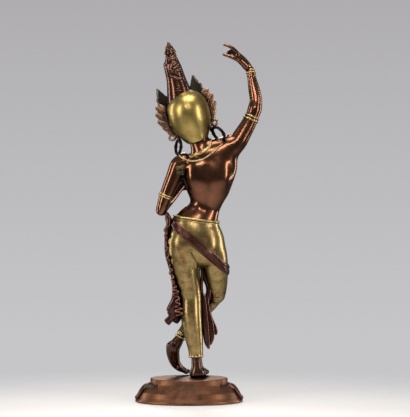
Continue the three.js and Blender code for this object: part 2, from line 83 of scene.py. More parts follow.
def spline(rows, pitch=2.5, steps=None, closed=False):
    """A smooth line through rows of numbers, a row about every pitch or this many steps to a stretch."""
    rows = np.array(rows, float)
    if closed:
        rows = np.vstack([rows[-1:], rows, rows[:2]])
    else:
        rows = np.vstack([2 * rows[0] - rows[1], rows, 2 * rows[-1] - rows[-2]])
    line = []
    for p0, p1, p2, p3 in zip(rows, rows[1:], rows[2:], rows[3:]):
        count = steps or max(1, math.ceil(np.linalg.norm((p2 - p1)[:3]) / pitch))
        t = (np.arange(count) / count)[:, None]
        bend = 2 * p0 - 5 * p1 + 4 * p2 - p3
        line.append(p1 + 0.5 * ((p2 - p0) * t + bend * t**2 + (3 * p1 - p0 - 3 * p2 + p3) * t**3))
    line.append(rows[-2][None])
    return np.vstack(line)


def mirrored(rows):
    return [(-row[0], *row[1:]) for row in rows]


# Forms: lists of (lowest corner, highest corner, distance to the skin at x, y, z)

def span(a, b, deep, dome):
    """One stretch of a limb, from row a to row b."""
    start, along = a[:3], b[:3] - a[:3]
    length = max(np.linalg.norm(along), 1e-6)
    axis = along / length
    depthwise = unit(deep - axis * (deep @ axis))
    widthwise = np.cross(depthwise, axis)
    size = max(a[3], b[3], a[4], b[4])

    def distance(x, y, z):
        x, y, z = x - start[0], y - start[1], z - start[2]
        share = ((x * axis[0] + y * axis[1] + z * axis[2]) / length).clip(0, 1)
        w = a[3] + share * (b[3] - a[3])
        d = a[4] + share * (b[4] - a[4])
        c = dome * np.minimum(w, d)
        x, y, z = x - share * along[0], y - share * along[1], z - share * along[2]
        u, v, s = (
            (x * way[0] + y * way[1] + z * way[2]) / half
            for way, half in ((widthwise, w), (depthwise, d), (axis, c))
        )
        near = np.sqrt(u * u + v * v + s * s)
        slope = np.sqrt((u / w) ** 2 + (v / d) ** 2 + (s / c) ** 2)
        return near * (near - 1) / np.maximum(slope, 1e-5)

    ends = np.array([a[:3], b[:3]])
    return ends.min(0) - size, ends.max(0) + size, distance


def limb(rows, pitch=2.5, dome=0.8, deep=(0, 1, 0), closed=False):
    """A rounded body through rows of [x, y, z, half width, half depth], its depth near this direction."""
    line = spline(rows, pitch, closed=closed)
    return [span(a, b, np.array(deep, float), dome) for a, b in zip(line, line[1:])]


def cord(points, radius, closed=False):
    """A round wire along points; radius is one number or one for each point."""
    points = np.array(points, float)
    sizes = np.broadcast_to(np.array(radius, float), len(points))
    if closed:
        points = np.vstack([points, points[:1]])
        sizes = np.append(sizes, sizes[0])
    form = []
    for start, end, r0, r1 in zip(points, points[1:], sizes, sizes[1:]):
        along = end - start
        length2 = max(along @ along, 1e-9)

        def distance(x, y, z, start=start, along=along, length2=length2, r0=r0, r1=r1):
            x, y, z = x - start[0], y - start[1], z - start[2]
            share = ((x * along[0] + y * along[1] + z * along[2]) / length2).clip(0, 1)
            away = (x - share * along[0]) ** 2 + (y - share * along[1]) ** 2 + (z - share * along[2]) ** 2
            return np.sqrt(away) - r0 - share * (r1 - r0)

        size = max(r0, r1)
        form.append((np.minimum(start, end) - size, np.maximum(start, end) + size, distance))
    return form


def wire(rows, radius, tip=None, pitch=1.2, closed=False):
    """A round wire on a smooth line through a few points, tapering to the tip radius."""
    line = spline(rows, pitch, closed=closed)
    if closed:
        line = line[:-1]
    sizes = np.linspace(radius, radius if tip is None else tip, len(line))
    return cord(line, sizes, closed)


def ball(middle, half):
    """A ball, or an egg with these three half sizes."""
    middle = np.array(middle, float)
    half = np.broadcast_to(np.array(half, float), 3)

    def distance(x, y, z):
        u, v, w = ((p - m) / h for p, m, h in zip((x, y, z), middle, half))
        near = np.sqrt(u * u + v * v + w * w)
        slope = np.sqrt((u / half[0]) ** 2 + (v / half[1]) ** 2 + (w / half[2]) ** 2)
        return near * (near - 1) / np.maximum(slope, 1e-5)

    return [(middle - half, middle + half, distance)]


def beyond(point, way):
    """Everything past the plane through this point, on the side that the direction points to."""
    way = unit(way)
    offset = way @ np.array(point, float)
    everywhere = np.full(3, 999.0)
    return [(-everywhere, everywhere, lambda x, y, z: offset - x * way[0] - y * way[1] - z * way[2])]


def outline_distance(outline, u, v):
    """How far (u, v) lies outside a closed outline."""
    nearest = np.full(np.broadcast(u, v).shape, FAR**2)
    inside = np.zeros(nearest.shape, bool)
    for (u0, v0), (u1, v1) in zip(outline, np.roll(outline, -1, 0)):
        du, dv = u1 - u0, v1 - v0
        share = (((u - u0) * du + (v - v0) * dv) / (du * du + dv * dv + 1e-9)).clip(0, 1)
        nearest = np.minimum(nearest, (u - u0 - share * du) ** 2 + (v - v0 - share * dv) ** 2)
        if v0 != v1:
            inside ^= ((v0 > v) != (v1 > v)) & (u < u0 + (v - v0) * du / dv)
    return np.where(inside, -1, 1) * np.sqrt(nearest)


def plate(outline, matrix, thick, rim=0.0, bow=0.0):
    """A plate in the matrix's X-Z plane, its face towards -Y, with a round rim on the edge of its face.
    bow is how far its middle line stands behind its sides."""
    outline = np.array(outline, float)
    back = np.linalg.inv(matrix)
    low, high = outline.min(0), outline.max(0)
    deep = thick + rim + abs(bow)
    corners = placed(matrix, list(product((low[0], high[0]), (-deep, deep), (low[1], high[1]))))
    wide = max(abs(low[0]), abs(high[0]))

    def distance(x, y, z):
        u, n, v = (x * row[0] + y * row[1] + z * row[2] + row[3] for row in back[:3])
        n = n - bow * (1 - (u / wide) ** 2)
        edge = outline_distance(outline, u, v)
        slab = np.abs(n) - thick / 2
        skin = np.minimum(np.maximum(edge, slab), 0) + np.hypot(np.maximum(edge, 0), np.maximum(slab, 0))
        if rim:
            skin = np.minimum(skin, np.hypot(edge + rim * 0.8, n + thick / 2) - rim)
        return skin

    return [(corners.min(0) - rim, corners.max(0) + rim, distance)]


# Clay

def merged(a, b, fillet):
    """The lower of two distances, with a soft join of this size where they meet."""
    low = np.minimum(a, b)
    if fillet:
        near = np.maximum(fillet - np.abs(a - b), 0) / fillet
        low = low - near * near * fillet / 4
    return low


class Clay:
    """A block of modelling clay, to which forms are added and from which they are cut."""

    def __init__(self, low, high, grain):
        self.grain = grain * COARSE
        self.low = np.array(low, float)
        self.shape = np.ceil((np.array(high) - self.low) / self.grain).astype(int) + 1
        self.depth = np.full(self.shape, FAR, np.float32)

    def block(self, low, high):
        """Another block of clay on this one's grid."""
        steps = np.round((np.array(low) - self.low) / self.grain)
        return Clay(self.low + steps * self.grain, high, self.grain / COARSE)

    def window(self, low, high):
        first = np.floor((low - self.low) / self.grain).astype(int).clip(0, self.shape)
        last = (np.ceil((high - self.low) / self.grain).astype(int) + 1).clip(0, self.shape)
        return first, np.maximum(last, first)

    def axes(self, first, last):
        lines = (self.low[i] + self.grain * np.arange(first[i], last[i]) for i in range(3))
        return np.ix_(*(line.astype(np.float32) for line in lines))

    def measured(self, form, reach):
        """The form's distances in the window that holds it, and that window."""
        first, last = self.window(
            np.min([part[0] for part in form], 0) - reach, np.max([part[1] for part in form], 0) + reach
        )
        field = np.full(last - first, FAR, np.float32)
        for low, high, distance in form:
            a, b = self.window(low - reach, high + reach)
            if (b > a).all():
                part = field[tuple(slice(*ends) for ends in zip(a - first, b - first))]
                np.minimum(part, distance(*self.axes(a, b)), out=part)
        return tuple(slice(*ends) for ends in zip(first, last)), field

    def add(self, form, fillet=0.0, reach=3.0):
        where, field = self.measured(form, max(reach, fillet + 1))
        self.depth[where] = merged(self.depth[where], field, fillet)
        return self

    def cut(self, form, fillet=0.0, reach=3.0):
        where, field = self.measured(form, max(reach, fillet + 1))
        self.depth[where] = -merged(-self.depth[where], field, fillet)
        return self

    def join(self, other, fillet=0.0):
        """Adds other clay that lies on the same grid."""
        first = np.round((other.low - self.low) / self.grain).astype(int)
        where = tuple(slice(f, f + n) for f, n in zip(first, other.shape))
        part = self.depth[where]
        part[:] = merged(part, other.depth[tuple(slice(0, n) for n in part.shape)], fillet)
        return self

    def smoothed(self, strides=(1, 2, 2, 1)):
        """Strokes everything modelled so far smooth, as with a wet brush."""
        soft = self.depth.clip(-5, 5)
        for stride, axis in product(strides, range(3)):
            place = np.arange(soft.shape[axis])
            ahead = np.take(soft, (place + stride).clip(None, len(place) - 1), axis)
            behind = np.take(soft, (place - stride).clip(0), axis)
            soft = (ahead + 2 * soft + behind) / 4
        self.depth = np.where(self.depth > 4.9, self.depth, soft)
        return self

    def sample(self, points):
        """Distances at any points."""
        place = ((points - self.low) / self.grain).clip(0, self.shape - 1.001)
        base = place.astype(int)
        part = place - base
        total = np.zeros(len(points))
        for corner in product((0, 1), repeat=3):
            weight = np.where(corner, part, 1 - part).prod(1)
            total += weight * self.depth[tuple((base + corner).T)]
        return total

    def slope(self, points, step=None):
        step = step or 0.6 * self.grain
        ways = np.eye(3) * step
        return np.stack([self.sample(points + w) - self.sample(points - w) for w in ways], 1) / (2 * step)

    def settled(self, points, proud=0.0, rounds=4):
        """Points moved straight onto the skin, or this far proud of it."""
        points = np.array(points, float)
        for _ in range(rounds):
            slope = self.slope(points)
            size = np.maximum((slope**2).sum(1), 0.05)
            step = ((self.sample(points) - proud) / size).clip(-3, 3)
            points = points - slope * step[:, None]
        return points

    def curvature(self, points, step):
        """How strongly the skin bulges (+) or caves in (-) at this scale, in 1/mm."""
        around = sum(self.sample(points + s * w) for w in np.eye(3) * step for s in (-1, 1))
        return (around - 6 * self.sample(points)) / step**2

    def skin(self):
        """The skin as points and four-sided faces, a point in each grid cell that it passes through."""
        inside = self.depth < 0
        cell = tuple(self.shape - 1)
        count = np.zeros(cell, np.int8)
        for o in product((0, 1), repeat=3):
            count += inside[tuple(slice(a, a + n) for a, n in zip(o, cell))]
        mixed = (count > 0) & (count < 8)
        cells = np.argwhere(mixed)
        number = np.full(cell, -1)
        number[mixed] = np.arange(len(cells))
        corner = {o: self.depth[tuple((cells + o).T)] for o in product((0, 1), repeat=3)}
        total = np.zeros((len(cells), 3))
        hits = np.zeros(len(cells))
        for o, axis in product(corner, range(3)):
            if o[axis]:
                continue
            end = tuple(1 if i == axis else n for i, n in enumerate(o))
            crossed = (corner[o] < 0) != (corner[end] < 0)
            share = corner[o][crossed] / (corner[o] - corner[end])[crossed]
            total[crossed] += np.array(o) + share[:, None] * np.eye(3)[axis]
            hits[crossed] += 1
        points = self.low + self.grain * (cells + total / hits[:, None])
        faces = []
        for axis in range(3):
            a, b = np.eye(3, dtype=int)[(axis + 1) % 3], np.eye(3, dtype=int)[(axis + 2) % 3]
            lower = np.take(inside, range(self.shape[axis] - 1), axis)
            upper = np.take(inside, range(1, self.shape[axis]), axis)
            edges = np.argwhere(lower != upper)
            room = ((edges - a - b >= 0) & (edges < cell)).all(1)
            edges = edges[room]
            quad = np.stack([number[tuple((edges - o).T)] for o in (0 * a, a, a + b, b)], 1)
            outward = lower[tuple(edges.T)]
            faces.append(np.where(outward[:, None], quad, quad[:, ::-1]))
        faces = np.vstack(faces)
        faces = faces[(faces >= 0).all(1)]
        points = self.settled(points, rounds=2)
        for _ in range(2):
            points = self.settled(0.4 * points + 0.6 * neighbours_mean(points, faces), rounds=2)
        return points, faces


def neighbours_mean(rows, faces):
    """Each point's row of numbers, averaged over the faces round it."""
    centre = rows[faces].mean(1)
    count = np.maximum(np.bincount(faces.ravel(), minlength=len(rows)), 1)
    sums = [np.bincount(faces.ravel(), np.repeat(column, 4), minlength=len(rows)) for column in centre.T]
    return np.stack(sums, 1) / count[:, None]


# Lines that lie on a body

def hoop(middle, normal, first, half, count=40):
    """Points on an oval in the plane with this normal; its first half size lies along first."""
    normal = unit(normal)
    u = unit(np.array(first, float) - normal * (normal @ np.array(first, float)))
    v = np.cross(normal, u)
    turn = np.arange(count) / count * 2 * math.pi
    return middle + np.outer(np.cos(turn) * half[0], u) + np.outer(np.sin(turn) * half[1], v)


def girdle(clay, middle, normal, proud=0.0, count=110, reach=50):
    """The closed line where a plane meets the outermost skin, drawn tight over hollows."""
    ways = hoop(np.zeros(3), normal, (1, 0, 0), (1, 1), count)
    steps = np.arange(0, reach, 0.3)
    rays = np.asarray(middle, float) + ways[:, None] * steps[None, :, None]
    inside = clay.sample(rays.reshape(-1, 3)).reshape(count, -1) < 0
    radius = steps[inside.shape[1] - 1 - inside[:, ::-1].argmax(1)]
    for _ in range(3):
        radius = np.maximum(radius, (np.roll(radius, 2) + np.roll(radius, -2)) / 2)
    for _ in range(2):
        radius = (np.roll(radius, 1) + radius + np.roll(radius, -1)) / 3
    return middle + ways * (radius + proud)[:, None]


def limb_place(rows, share):
    """The middle, direction, widthwise direction and half sizes of a limb at a share of its length."""
    line = spline(rows, steps=20)
    i = min(round(share * (len(line) - 1)), len(line) - 2)
    along = unit((line[i + 1] - line[i])[:3])
    depthwise = unit(np.array((0, 1, 0)) - along * along[1])
    return line[i][:3], along, np.cross(depthwise, along), line[i][3:5]


# The figure's measures: rows of [x, y, z, half width, half depth]

TORSO = [
    (-7.2, 1, 135, 27, 17.6),
    (-6, 1, 146, 25.6, 16.8),
    (-9.4, 0.5, 156.5, 21.8, 14.2),
    (-13.4, 0, 164, 16.8, 12),
    (-15.6, -0.5, 170.5, 15.4, 10.8),
    (-17.6, -0.5, 178.5, 17, 11.8),
    (-18.8, 0, 188, 21.6, 13.6),
    (-19.4, 0.5, 198, 24.8, 14.4),
    (-19.8, 1, 207, 27.6, 13.8),
    (-19.4, 1.5, 216, 28, 11.8),
    (-14, 1.5, 223, 19, 9),
]
HIPS = [
    (-6.5, 0.5, 123, 26, 16),
    (-7.2, 1, 135, 28, 18.2),
    (-5.8, 1, 146, 26.2, 17.6),
    (-9.6, 0.5, 156.5, 22.4, 14.8),
    (-13, 0, 163, 17.6, 12.8),
]
NECK = [
    (-12.5, 1.5, 221, 11.4, 9.4),
    (-11.6, 0.8, 230, 9.8, 9),
    (-9.8, 0, 238, 10, 9),
    (-7, -1, 247, 10, 9.6),
]
RIGHT_SHOULDER = [
    (-16, 1.5, 223, 10, 8.4),
    (-29, 1.5, 230, 9.6, 8),
    (-37, 1.5, 235.5, 6.4, 7),
]
RIGHT_UPPER_ARM = [
    (-31, 1, 219, 12, 10.8),
    (-42.5, 1.2, 231, 11, 10),
    (-49.2, 1, 237, 9.4, 8.8),
    (-53.6, 0.5, 244.2, 8.6, 7.8),
    (-59.2, -0.5, 253.7, 7.8, 7.2),
    (-63.4, -1.2, 262.5, 7, 7),
    (-65.8, -2, 270, 6.6, 6.6),
]
RIGHT_FOREARM = [
    (-65.9, -2, 268.5, 6.5, 6.4),
    (-67, -3.5, 277.5, 6.5, 6),
    (-65, -6, 289, 6, 5.6),
    (-62.6, -8.5, 301, 4.6, 4.7),
    (-61.6, -10, 307.5, 4.1, 4.3),
]
LEFT_UPPER_ARM = [
    (4, 1.5, 216, 10, 9.4),
    (10.5, 1.5, 213, 8.6, 8.8),
    (14.6, 2, 203, 7.9, 8),
    (19.4, 2.5, 191, 7.4, 7.4),
    (23.4, 3, 181.5, 6.6, 6.7),
    (26.6, 3, 172, 5.8, 6),
    (27.9, 2.5, 166.5, 5.2, 5.6),
]
LEFT_FOREARM = [
    (27.5, 1.5, 168.5, 5.4, 5.4),
    (21.5, -7, 175.5, 5.2, 5.2),
    (13.2, -17, 185, 4.6, 4.6),
    (5.5, -26, 194, 3.8, 3.8),
]
STANDING_LEG = [
    (6.6, 1, 136, 16, 16.5),
    (6, 1, 124, 15.4, 15.8),
    (4.4, 0.5, 114, 14.6, 15),
    (2.2, 0, 103, 13.4, 14),
    (0.2, -0.5, 91, 12.1, 12.8),
    (-1.8, -0.5, 79, 10.9, 11.2),
    (-2.1, 1, 66, 10.9, 11),
    (-3.2, 1.5, 53, 10.3, 10.4),
    (-5.3, 1.5, 38, 8.9, 8.9),
    (-6.6, 1, 28, 7.6, 7.5),
    (-7.1, 0.8, 20, 7.2, 7.3),
]
CROSSED_THIGH = [
    (-19.5, 0, 137, 15, 16),
    (-23.7, -2, 124, 14.2, 14.8),
    (-26, -5, 112, 13.2, 13.4),
    (-27, -9, 100, 12, 12.4),
    (-27.4, -13, 89, 10.6, 11.2),
    (-27, -15.5, 81, 9.4, 9.8),
]
CROSSED_SHIN = [
    (-26, -16.5, 80.5, 8.4, 8.6),
    (-19.7, -18.5, 72.2, 8.2, 8),
    (-8, -19, 59.5, 6.9, 7.4),
    (2.2, -17, 48.5, 6, 6.3),
    (8, -15.4, 41.5, 4.9, 5.6),
]
STANDING_ANKLE = [
    (-7.4, 0.8, 24, 5.2, 5.4),
    (-7.8, 0.8, 16, 5.4, 5.8),
    (-8.4, 0.8, 8, 6.2, 6.4),
    (-8.8, 0.8, 3, 8, 7),
]
CROSSED_ANKLE = [
    (8.2, -15, 40, 4.2, 4.8),
    (12.2, -14.2, 33.6, 5.6, 5),
    (16.4, -14, 27.4, 6.2, 5),
]
CROSSED_FOOT = [
    (18.4, -12.4, 31, 4.6, 4.6),
    (16.8, -13.8, 26, 6.4, 5),
    (15.8, -15.8, 19.6, 6.2, 5),
    (14, -18, 12.7, 5, 4.8),
    (9.2, -20.6, 7, 3.7, 4.6),
    (4.4, -22.2, 4.8, 2.4, 3.8),
]
RAISED_PALM = [
    (-61, -10.6, 308, 4, 4.6),
    (-56, -10.5, 314.4, 4.4, 6),
    (-50.6, -9, 319.8, 4.4, 7),
    (-47.4, -8, 323.2, 3.4, 6.6),
]
BREAST_PALM = [
    (5.5, -26, 194, 3.8, 3.6),
    (1.5, -29.5, 200, 5.4, 3.2),
    (-1.5, -31.5, 206, 5.8, 2.8),
]
# Fingers: root radius, then the points from root to tip
RAISED_FINGERS = [
    (2.1, [(-48.8, -3.5, 324.2), (-44.2, -2.5, 329), (-40, -2.5, 331.6), (-35.2, -2.5, 333.2)]),
    (2.0, [(-48.2, -7, 324), (-44, -7, 327.2), (-40.4, -7.5, 326.6), (-38.6, -7.5, 324.8)]),
    (1.9, [(-47.8, -10.5, 323.5), (-44.4, -11, 325.6), (-41, -11, 324.6), (-39.4, -10.5, 323)]),
    (1.7, [(-48.3, -14, 322.4), (-44.4, -15, 324.4), (-40.6, -15.5, 324.6)]),
    (2.3, [(-51, -3.5, 317), (-46, -1.5, 319.4), (-40, -1.5, 321.8), (-34.8, -1.8, 323.4)]),
]
BREAST_FINGERS = [
    (1.9, [(-5.5, -31.5, 207), (-8, -33.5, 211.5), (-7.5, -36.5, 212)]),
    (1.9, [(-3, -32, 208.5), (-4.2, -33.5, 215), (-4.4, -34, 221)]),
    (1.8, [(0.2, -32, 208), (0.4, -33.4, 214.5), (0.8, -34.2, 219.5)]),
    (1.6, [(3.2, -31.4, 206), (4.6, -32.6, 211.5), (5.8, -33.6, 215.5)]),
    (2.1, [(-2.5, -31, 200.5), (-6, -34.5, 204), (-7.4, -37, 209.4)]),
]
# The head leans 20 degrees to the left shoulder, nods 4 and turns 5 to the left.
HEAD = moved(0.5, -2, 262) @ turned("Y", 20) @ turned("X", 4) @ turned("Z", 5)


# Bare skin: torso, neck, arms, hands and feet

def body():
    clay = Clay((-78, -36, 146), (37, 22, 314), 0.74)
    clay.add(limb(TORSO), reach=5)
    clay.add(limb(NECK), 4, reach=5)
    clay.add(limb(RIGHT_SHOULDER), 6, reach=5)
    clay.add(limb(RIGHT_UPPER_ARM), 5, reach=5)
    clay.add(limb(RIGHT_FOREARM), 3, reach=5)
    clay.smoothed()
    left = clay.block((-10, -36, 156), (37, 22, 232))
    left.add(limb(LEFT_UPPER_ARM), reach=5)
    left.add(limb(LEFT_FOREARM), 2, reach=5)
    clay.join(left.smoothed((1, 2)), 3)
    for x in (-7.5, -30):
        clay.add(ball((x, 9, 204), (8, 4.6, 12)), 7)  # shoulder blades
    spine = clay.settled([(-17.5, 16, 211), (-17.5, 16, 197), (-16.2, 12.6, 181), (-14, 12.4, 169)], 3.6)
    clay.cut(wire(spine, 1.6), 5)
    clay.add(ball((-40.5, 2.5, 242.4), (2.4, 2.4, 2)), 1.6)
    for x, y, z in ((-5.5, -12, 199), (-31.5, -12, 201.5)):
        clay.add(ball((x, y, z), (9.4, 9.4, 9.2)), 2.4)
        clay.add(ball((x, y - 9.2, z - 0.4), 1.5), 0.8)
    clay.add(ball((-13.5, -7, 166), (12, 6, 9)), 6)  # belly
    clay.cut(ball((-14.6, -13.6, 167.5), (1.3, 2.2, 1.7)), 1.4)
    for z in (229, 233.5, 238):  # three folds of the neck
        fold = hoop((-11 + (z - 230) * 0.2, 0.5, z), (0.12, 0.25, 1), (1, 0, 0), (9.6, 9))
        front = clay.settled(fold[fold[:, 1] < 2])
        clay.cut(cord(front[np.argsort(front[:, 0])], 0.35), 0.8)
    return clay


def fingers(clay, hand):
    for root, points in hand:
        clay.add(wire(points, root, 0.62 * root, pitch=0.9), 0.7)


def raised_hand():
    clay = Clay((-68, -24, 300), (-30, 6, 338), 0.42)
    clay.add(limb(RIGHT_FOREARM[-2:] + RAISED_PALM, pitch=1.5, deep=(0, 1, 0)))
    clay.add(wire([(-57, -6.5, 311.7), (-51.4, -3.6, 316.8)], 3.6, 2.6), 2)  # ball of the thumb
    fingers(clay, RAISED_FINGERS)
    return clay


def breast_hand():
    clay = Clay((-14, -42, 186), (14, -18, 225), 0.42)
    clay.add(limb(LEFT_FOREARM[-2:] + BREAST_PALM, pitch=1.5))
    clay.add(wire([(1.5, -28, 197), (-2.5, -31, 200.5)], 3, 2.4), 1.5)
    fingers(clay, BREAST_FINGERS)
    return clay


def feet():
    clay = Clay((-27, -34, -2), (26, 12, 46), 0.5)
    clay.add(limb(STANDING_ANKLE))
    standing = [(-8.6, 3.4, 4.9, 8, 4.8), (-10, -6, 5.4, 7.2, 5.4), (-12.4, -17, 3.8, 7.8, 3.8)]
    clay.add(limb(standing, deep=(0, 0, 1)), 3)
    for i, r in enumerate((2.5, 1.9, 1.8, 1.6, 1.5)):  # toes, from the big one
        root = np.array((-16.6 + 2.8 * i, -18 + 0.4 * i, 3.2))
        tip = (-17.8 + 2.8 * i, -27.6 + 1.3 * i, r * 0.95)
        clay.add(wire([root, tip], 2.2, r), 0.9)
    clay.add(limb(CROSSED_ANKLE), 0)
    clay.add(limb(CROSSED_FOOT), 2.5)
    clay.add(ball((12, -19.6, 33.5), 2.2), 2)
    for i, r in enumerate((2.2, 1.7, 1.6, 1.5, 1.4)):
        y = -25 + 2.1 * i
        toe = [(10.6, y + 1.2, 8), (5.4, y, 4), (1.2 + 0.4 * i, y - 0.4, r + 1.1)]
        clay.add(wire(toe, 2.1, r, pitch=2), 0.7)
    clay.cut(beyond((0, 0, 0), (0, 0, -1)))
    return clay


# Head, in its own frame: x to the figure's left, y to the back, z to the crown of the head

def face_and_ears():
    clay = Clay((-25, -29, -29), (25, 22, 20), 0.46)
    clay.add(ball((0, 0, 0), (19, 20.4, 21)))
    clay.add(ball((0, -5.6, -10), (15, 14.4, 16)), 5)
    clay.add(ball((0, -14.4, -21.6), (5, 4.6, 4.2)), 4)  # chin
    for side in (1, -1):
        clay.add(ball((8.2 * side, -12.4, -9.4), (6.6, 6.6, 6.6)), 4)  # cheek
        clay.cut(ball((7.4 * side, -22.6, -1.2), (5.6, 3.4, 3)), 2.6)  # eye socket
        brow = [(2, -21.4, 1.6), (6.4, -20.6, 4), (11, -18, 3.6), (14.6, -14.6, 1.2)]
        brow = [(x * side, y, z) for x, y, z in brow]
        clay.add(cord(clay.settled(spline(brow, 1)), 0.55), 1.4)
        clay.add(ball((7.2 * side, -16.6, -2), (4.9, 3.6, 2.9)), 0.5)  # closed lid over the eyeball
        slit = [(3.2 * side, -19.6, -3), (7.2 * side, -20.6, -3.7), (11.4 * side, -17.6, -2.4)]
        clay.cut(cord(clay.settled(spline(slit, 0.8), -0.1), 0.34), 0.3)
        lid = [(3 * side, -19.6, -2.6), (7.2 * side, -20.8, -2.9), (12 * side, -17, -1.8)]
        clay.add(cord(clay.settled(spline(lid, 0.8), 0.05), 0.42), 0.5)
        clay.add(ball((2.6 * side, -20.6, -9.6), (1.7, 2, 1.5)), 1)  # wing of the nose
        clay.cut(ball((1.5 * side, -22, -11.1), (0.7, 1.1, 0.8)), 0.4)
    nose = [(0, -20, 2, 1.9, 1.6), (0, -21.4, -3, 1.6, 1.7), (0, -22.8, -8.6, 2.1, 2.3)]
    clay.add(limb(nose, pitch=1), 1.6)
    clay.add(ball((0, -23.4, -9.2), (2, 1.8, 1.7)), 1)
    for side in (1, -1):  # lips
        upper = [(0.4 * side, -20.9, -13.6), (1.9 * side, -20.7, -13.2), (5 * side, -18.4, -14.2)]
        clay.add(wire(upper, 1.05, 0.4), 0.6)
    clay.add(wire([(-4.2, -18.6, -14.9), (0, -20.6, -15.9), (4.2, -18.6, -14.9)], 0.95), 0.9)
    mouth = clay.settled(spline([(-5.2, -18.6, -14), (0, -21, -14.8), (5.2, -18.6, -14)], 0.8), -0.05)
    clay.cut(cord(mouth, 0.3), 0.3)
    clay.cut(ball((0, -20.6, -18), (2.6, 1.3, 0.9)), 1.4)
    clay.add(ball((0, -21.2, 4.6), (1, 1, 1)), 0.6)  # mark on the brow
    for side in (1, -1):
        edge = [(17, -5, -3), (19.2, -3, 2), (19.6, 1, 0), (19, 1.6, -7), (17.8, -1, -14)]
        rim = [(x * side, y, z) for x, y, z in edge]
        ear = [(17.6, -2, -1, 1.6, 4.4), (17, -1, -12, 1.7, 4), (16.8, -0.4, -22, 1.6, 3)]
        clay.add(limb([(x * side, *rest) for x, *rest in ear]), 1)
        clay.add(wire(rim, 1.3, 0.9), 0.6)
        clay.cut(wire([(18.8 * side, -1, -1), (18.8 * side, -0.6, -8)], 1.2), 0.8)
    return clay


SKULL = [
    (-0.2, 3, -28, 9, 9),
    (-0.4, 3, -24, 11.6, 11.4),
    (-0.4, 2, -17, 15.8, 15.4),
    (-0.6, 1, -9, 19.2, 19.4),
    (-1, 0.4, -1, 20.8, 21.6),
    (-1.4, 0, 7, 20.6, 22.2),
    (-1.4, 0, 13, 19, 20.4),
    (-1, 0, 19, 13.6, 14.4),
]


def hair_cap():
    clay = Clay((-26, -27, -32), (24, 28, 28), 0.62)
    clay.add(limb(SKULL, pitch=1.6, dome=0.5), reach=5)
    clay.add(ball((-1.2, 0.4, 4), (20.6, 22.2, 21.4)), 1, reach=5)
    clay.smoothed((1, 2))
    clay.cut(ball((0, -19, -13), (19.5, 19, 20.4)), 0.6)  # leaves the face free
    clay.cut(beyond((0, 0, -25.6), (-0.05, -0.2, -1)), 0.8)
    for i in range(-6, 7):  # combed locks over the brow
        angle = math.radians(9 * i)
        low = (21.4 * math.sin(angle), -22.6 * math.cos(angle), 7.2 - abs(i) * 0.35)
        high = (19 * math.sin(angle * 0.8), -18.6 * math.cos(angle * 0.8), 15)
        clay.add(cord(clay.settled(spline([low, high], 1.5)), 0.8), 0.6)
    return clay


HAIR_KNOT = [
    (8.4, -3.5, 274, 13, 13),
    (10, -3.5, 286, 12, 11.8),
    (12, -3, 295, 10.2, 10),
    (14, -3, 303, 9.2, 9),
    (16.2, -2.5, 310.5, 8.6, 8.6),
    (17.2, -2.5, 317, 6.4, 6.6),
    (17.8, -2.5, 321.5, 4.2, 4.4),
]


def curl(middle, across, up, radius, turns, wire_radius):
    """A scroll: a wire that winds in to its middle."""
    count = round(16 * turns)
    share = np.arange(count + 1) / count
    turn = share * turns * 2 * math.pi
    reach = radius * (1 - 0.78 * share)
    points = np.outer(np.cos(turn) * reach, across) + np.outer(np.sin(turn) * reach, up)
    return middle + points, np.linspace(wire_radius, 0.7 * wire_radius, count + 1)


def hair_knot():
    clay = Clay((-8, -20, 270), (28, 15, 328), 0.5)
    clay.add(limb(HAIR_KNOT))
    clay.add(ball((22.2, -2, 312.6), (3.4, 3.6, 3.8)), 1.2)
    clay.add(ball((15, 4.6, 311), (5.6, 3.6, 6)), 1.4)
    axis_up = unit((0.25, 0, 1))
    axis_across = unit((-1, 0, 0.25))
    scrolls = (((14, 8, 312.6), 4.4, 1.5), ((18.6, 6.6, 306), 2.5, 1.2), ((11.6, 8, 305.4), 2.4, 1.2))
    for middle, radius, turns in scrolls:
        points, sizes = curl(middle, axis_across, axis_up, radius, turns, 0.95)
        clay.add(cord(clay.settled(points, 0.25), sizes), 0.3)
    sill = [(20.6, 3, 302.6), (16.8, 8, 301), (10.4, 8.4, 299.6), (5.4, 4.8, 300.6)]
    clay.add(cord(clay.settled(spline(sill, 1.2), 0.1), 0.8), 0.8)
    for z, size in ((318.4, 6), (320.2, 5)):
        ring = hoop((17.3, -2.5, z), (0.15, 0, 1), (1, 0, 0), (size, size))
        clay.add(cord(clay.settled(ring), 0.7, True), 0.3)
    for i in range(13):  # combed strands, in front only
        angle = math.radians(198 + 12 * i)
        foot = np.array((9.6 + 12.4 * math.cos(angle), -3.5 + 12.4 * math.sin(angle), 280))
        head = (16.4 + 7 * math.cos(angle), -2.5 + 7 * math.sin(angle), 314)
        waist = (12.6 + 9 * math.cos(angle), -3 + 9 * math.sin(angle), 298)
        clay.cut(cord(clay.settled(spline([foot, waist, head], 1.6)), 0.45), 0.8)
    return clay


def finial():
    clay = Clay((10, -11, 316), (28, 6, 338), 0.36)
    core = [(17.7, 320, 4), (18.2, 324, 3.6), (19, 328, 3.8), (20, 332, 2.4), (20.6, 334.8, 1.1)]
    clay.add(limb([(x, -2.5, z, size, size + 0.2) for x, z, size in core]))
    for ring, (z, size, r) in enumerate(((322.6, 4.6, 1.25), (326.4, 4.6, 1.5), (330, 3.4, 1.2))):
        middle = np.array((17.9 + (z - 322) * 0.22, -2.5, z))
        beads = hoop(middle, (0.22, 0, 1), (math.cos(ring), math.sin(ring), 0), (size, size), 8)
        for bead in beads:
            top = bead * 0.86 + middle * 0.14 + (0.3, 0, 1.7)
            clay.add(wire([bead + (0, 0, -1.1), top], r, r * 0.45), 0.25)
    clay.add(ball((20.7, -2.5, 335), 1.1), 0.4)
    return clay


# Crown, in the head's frame

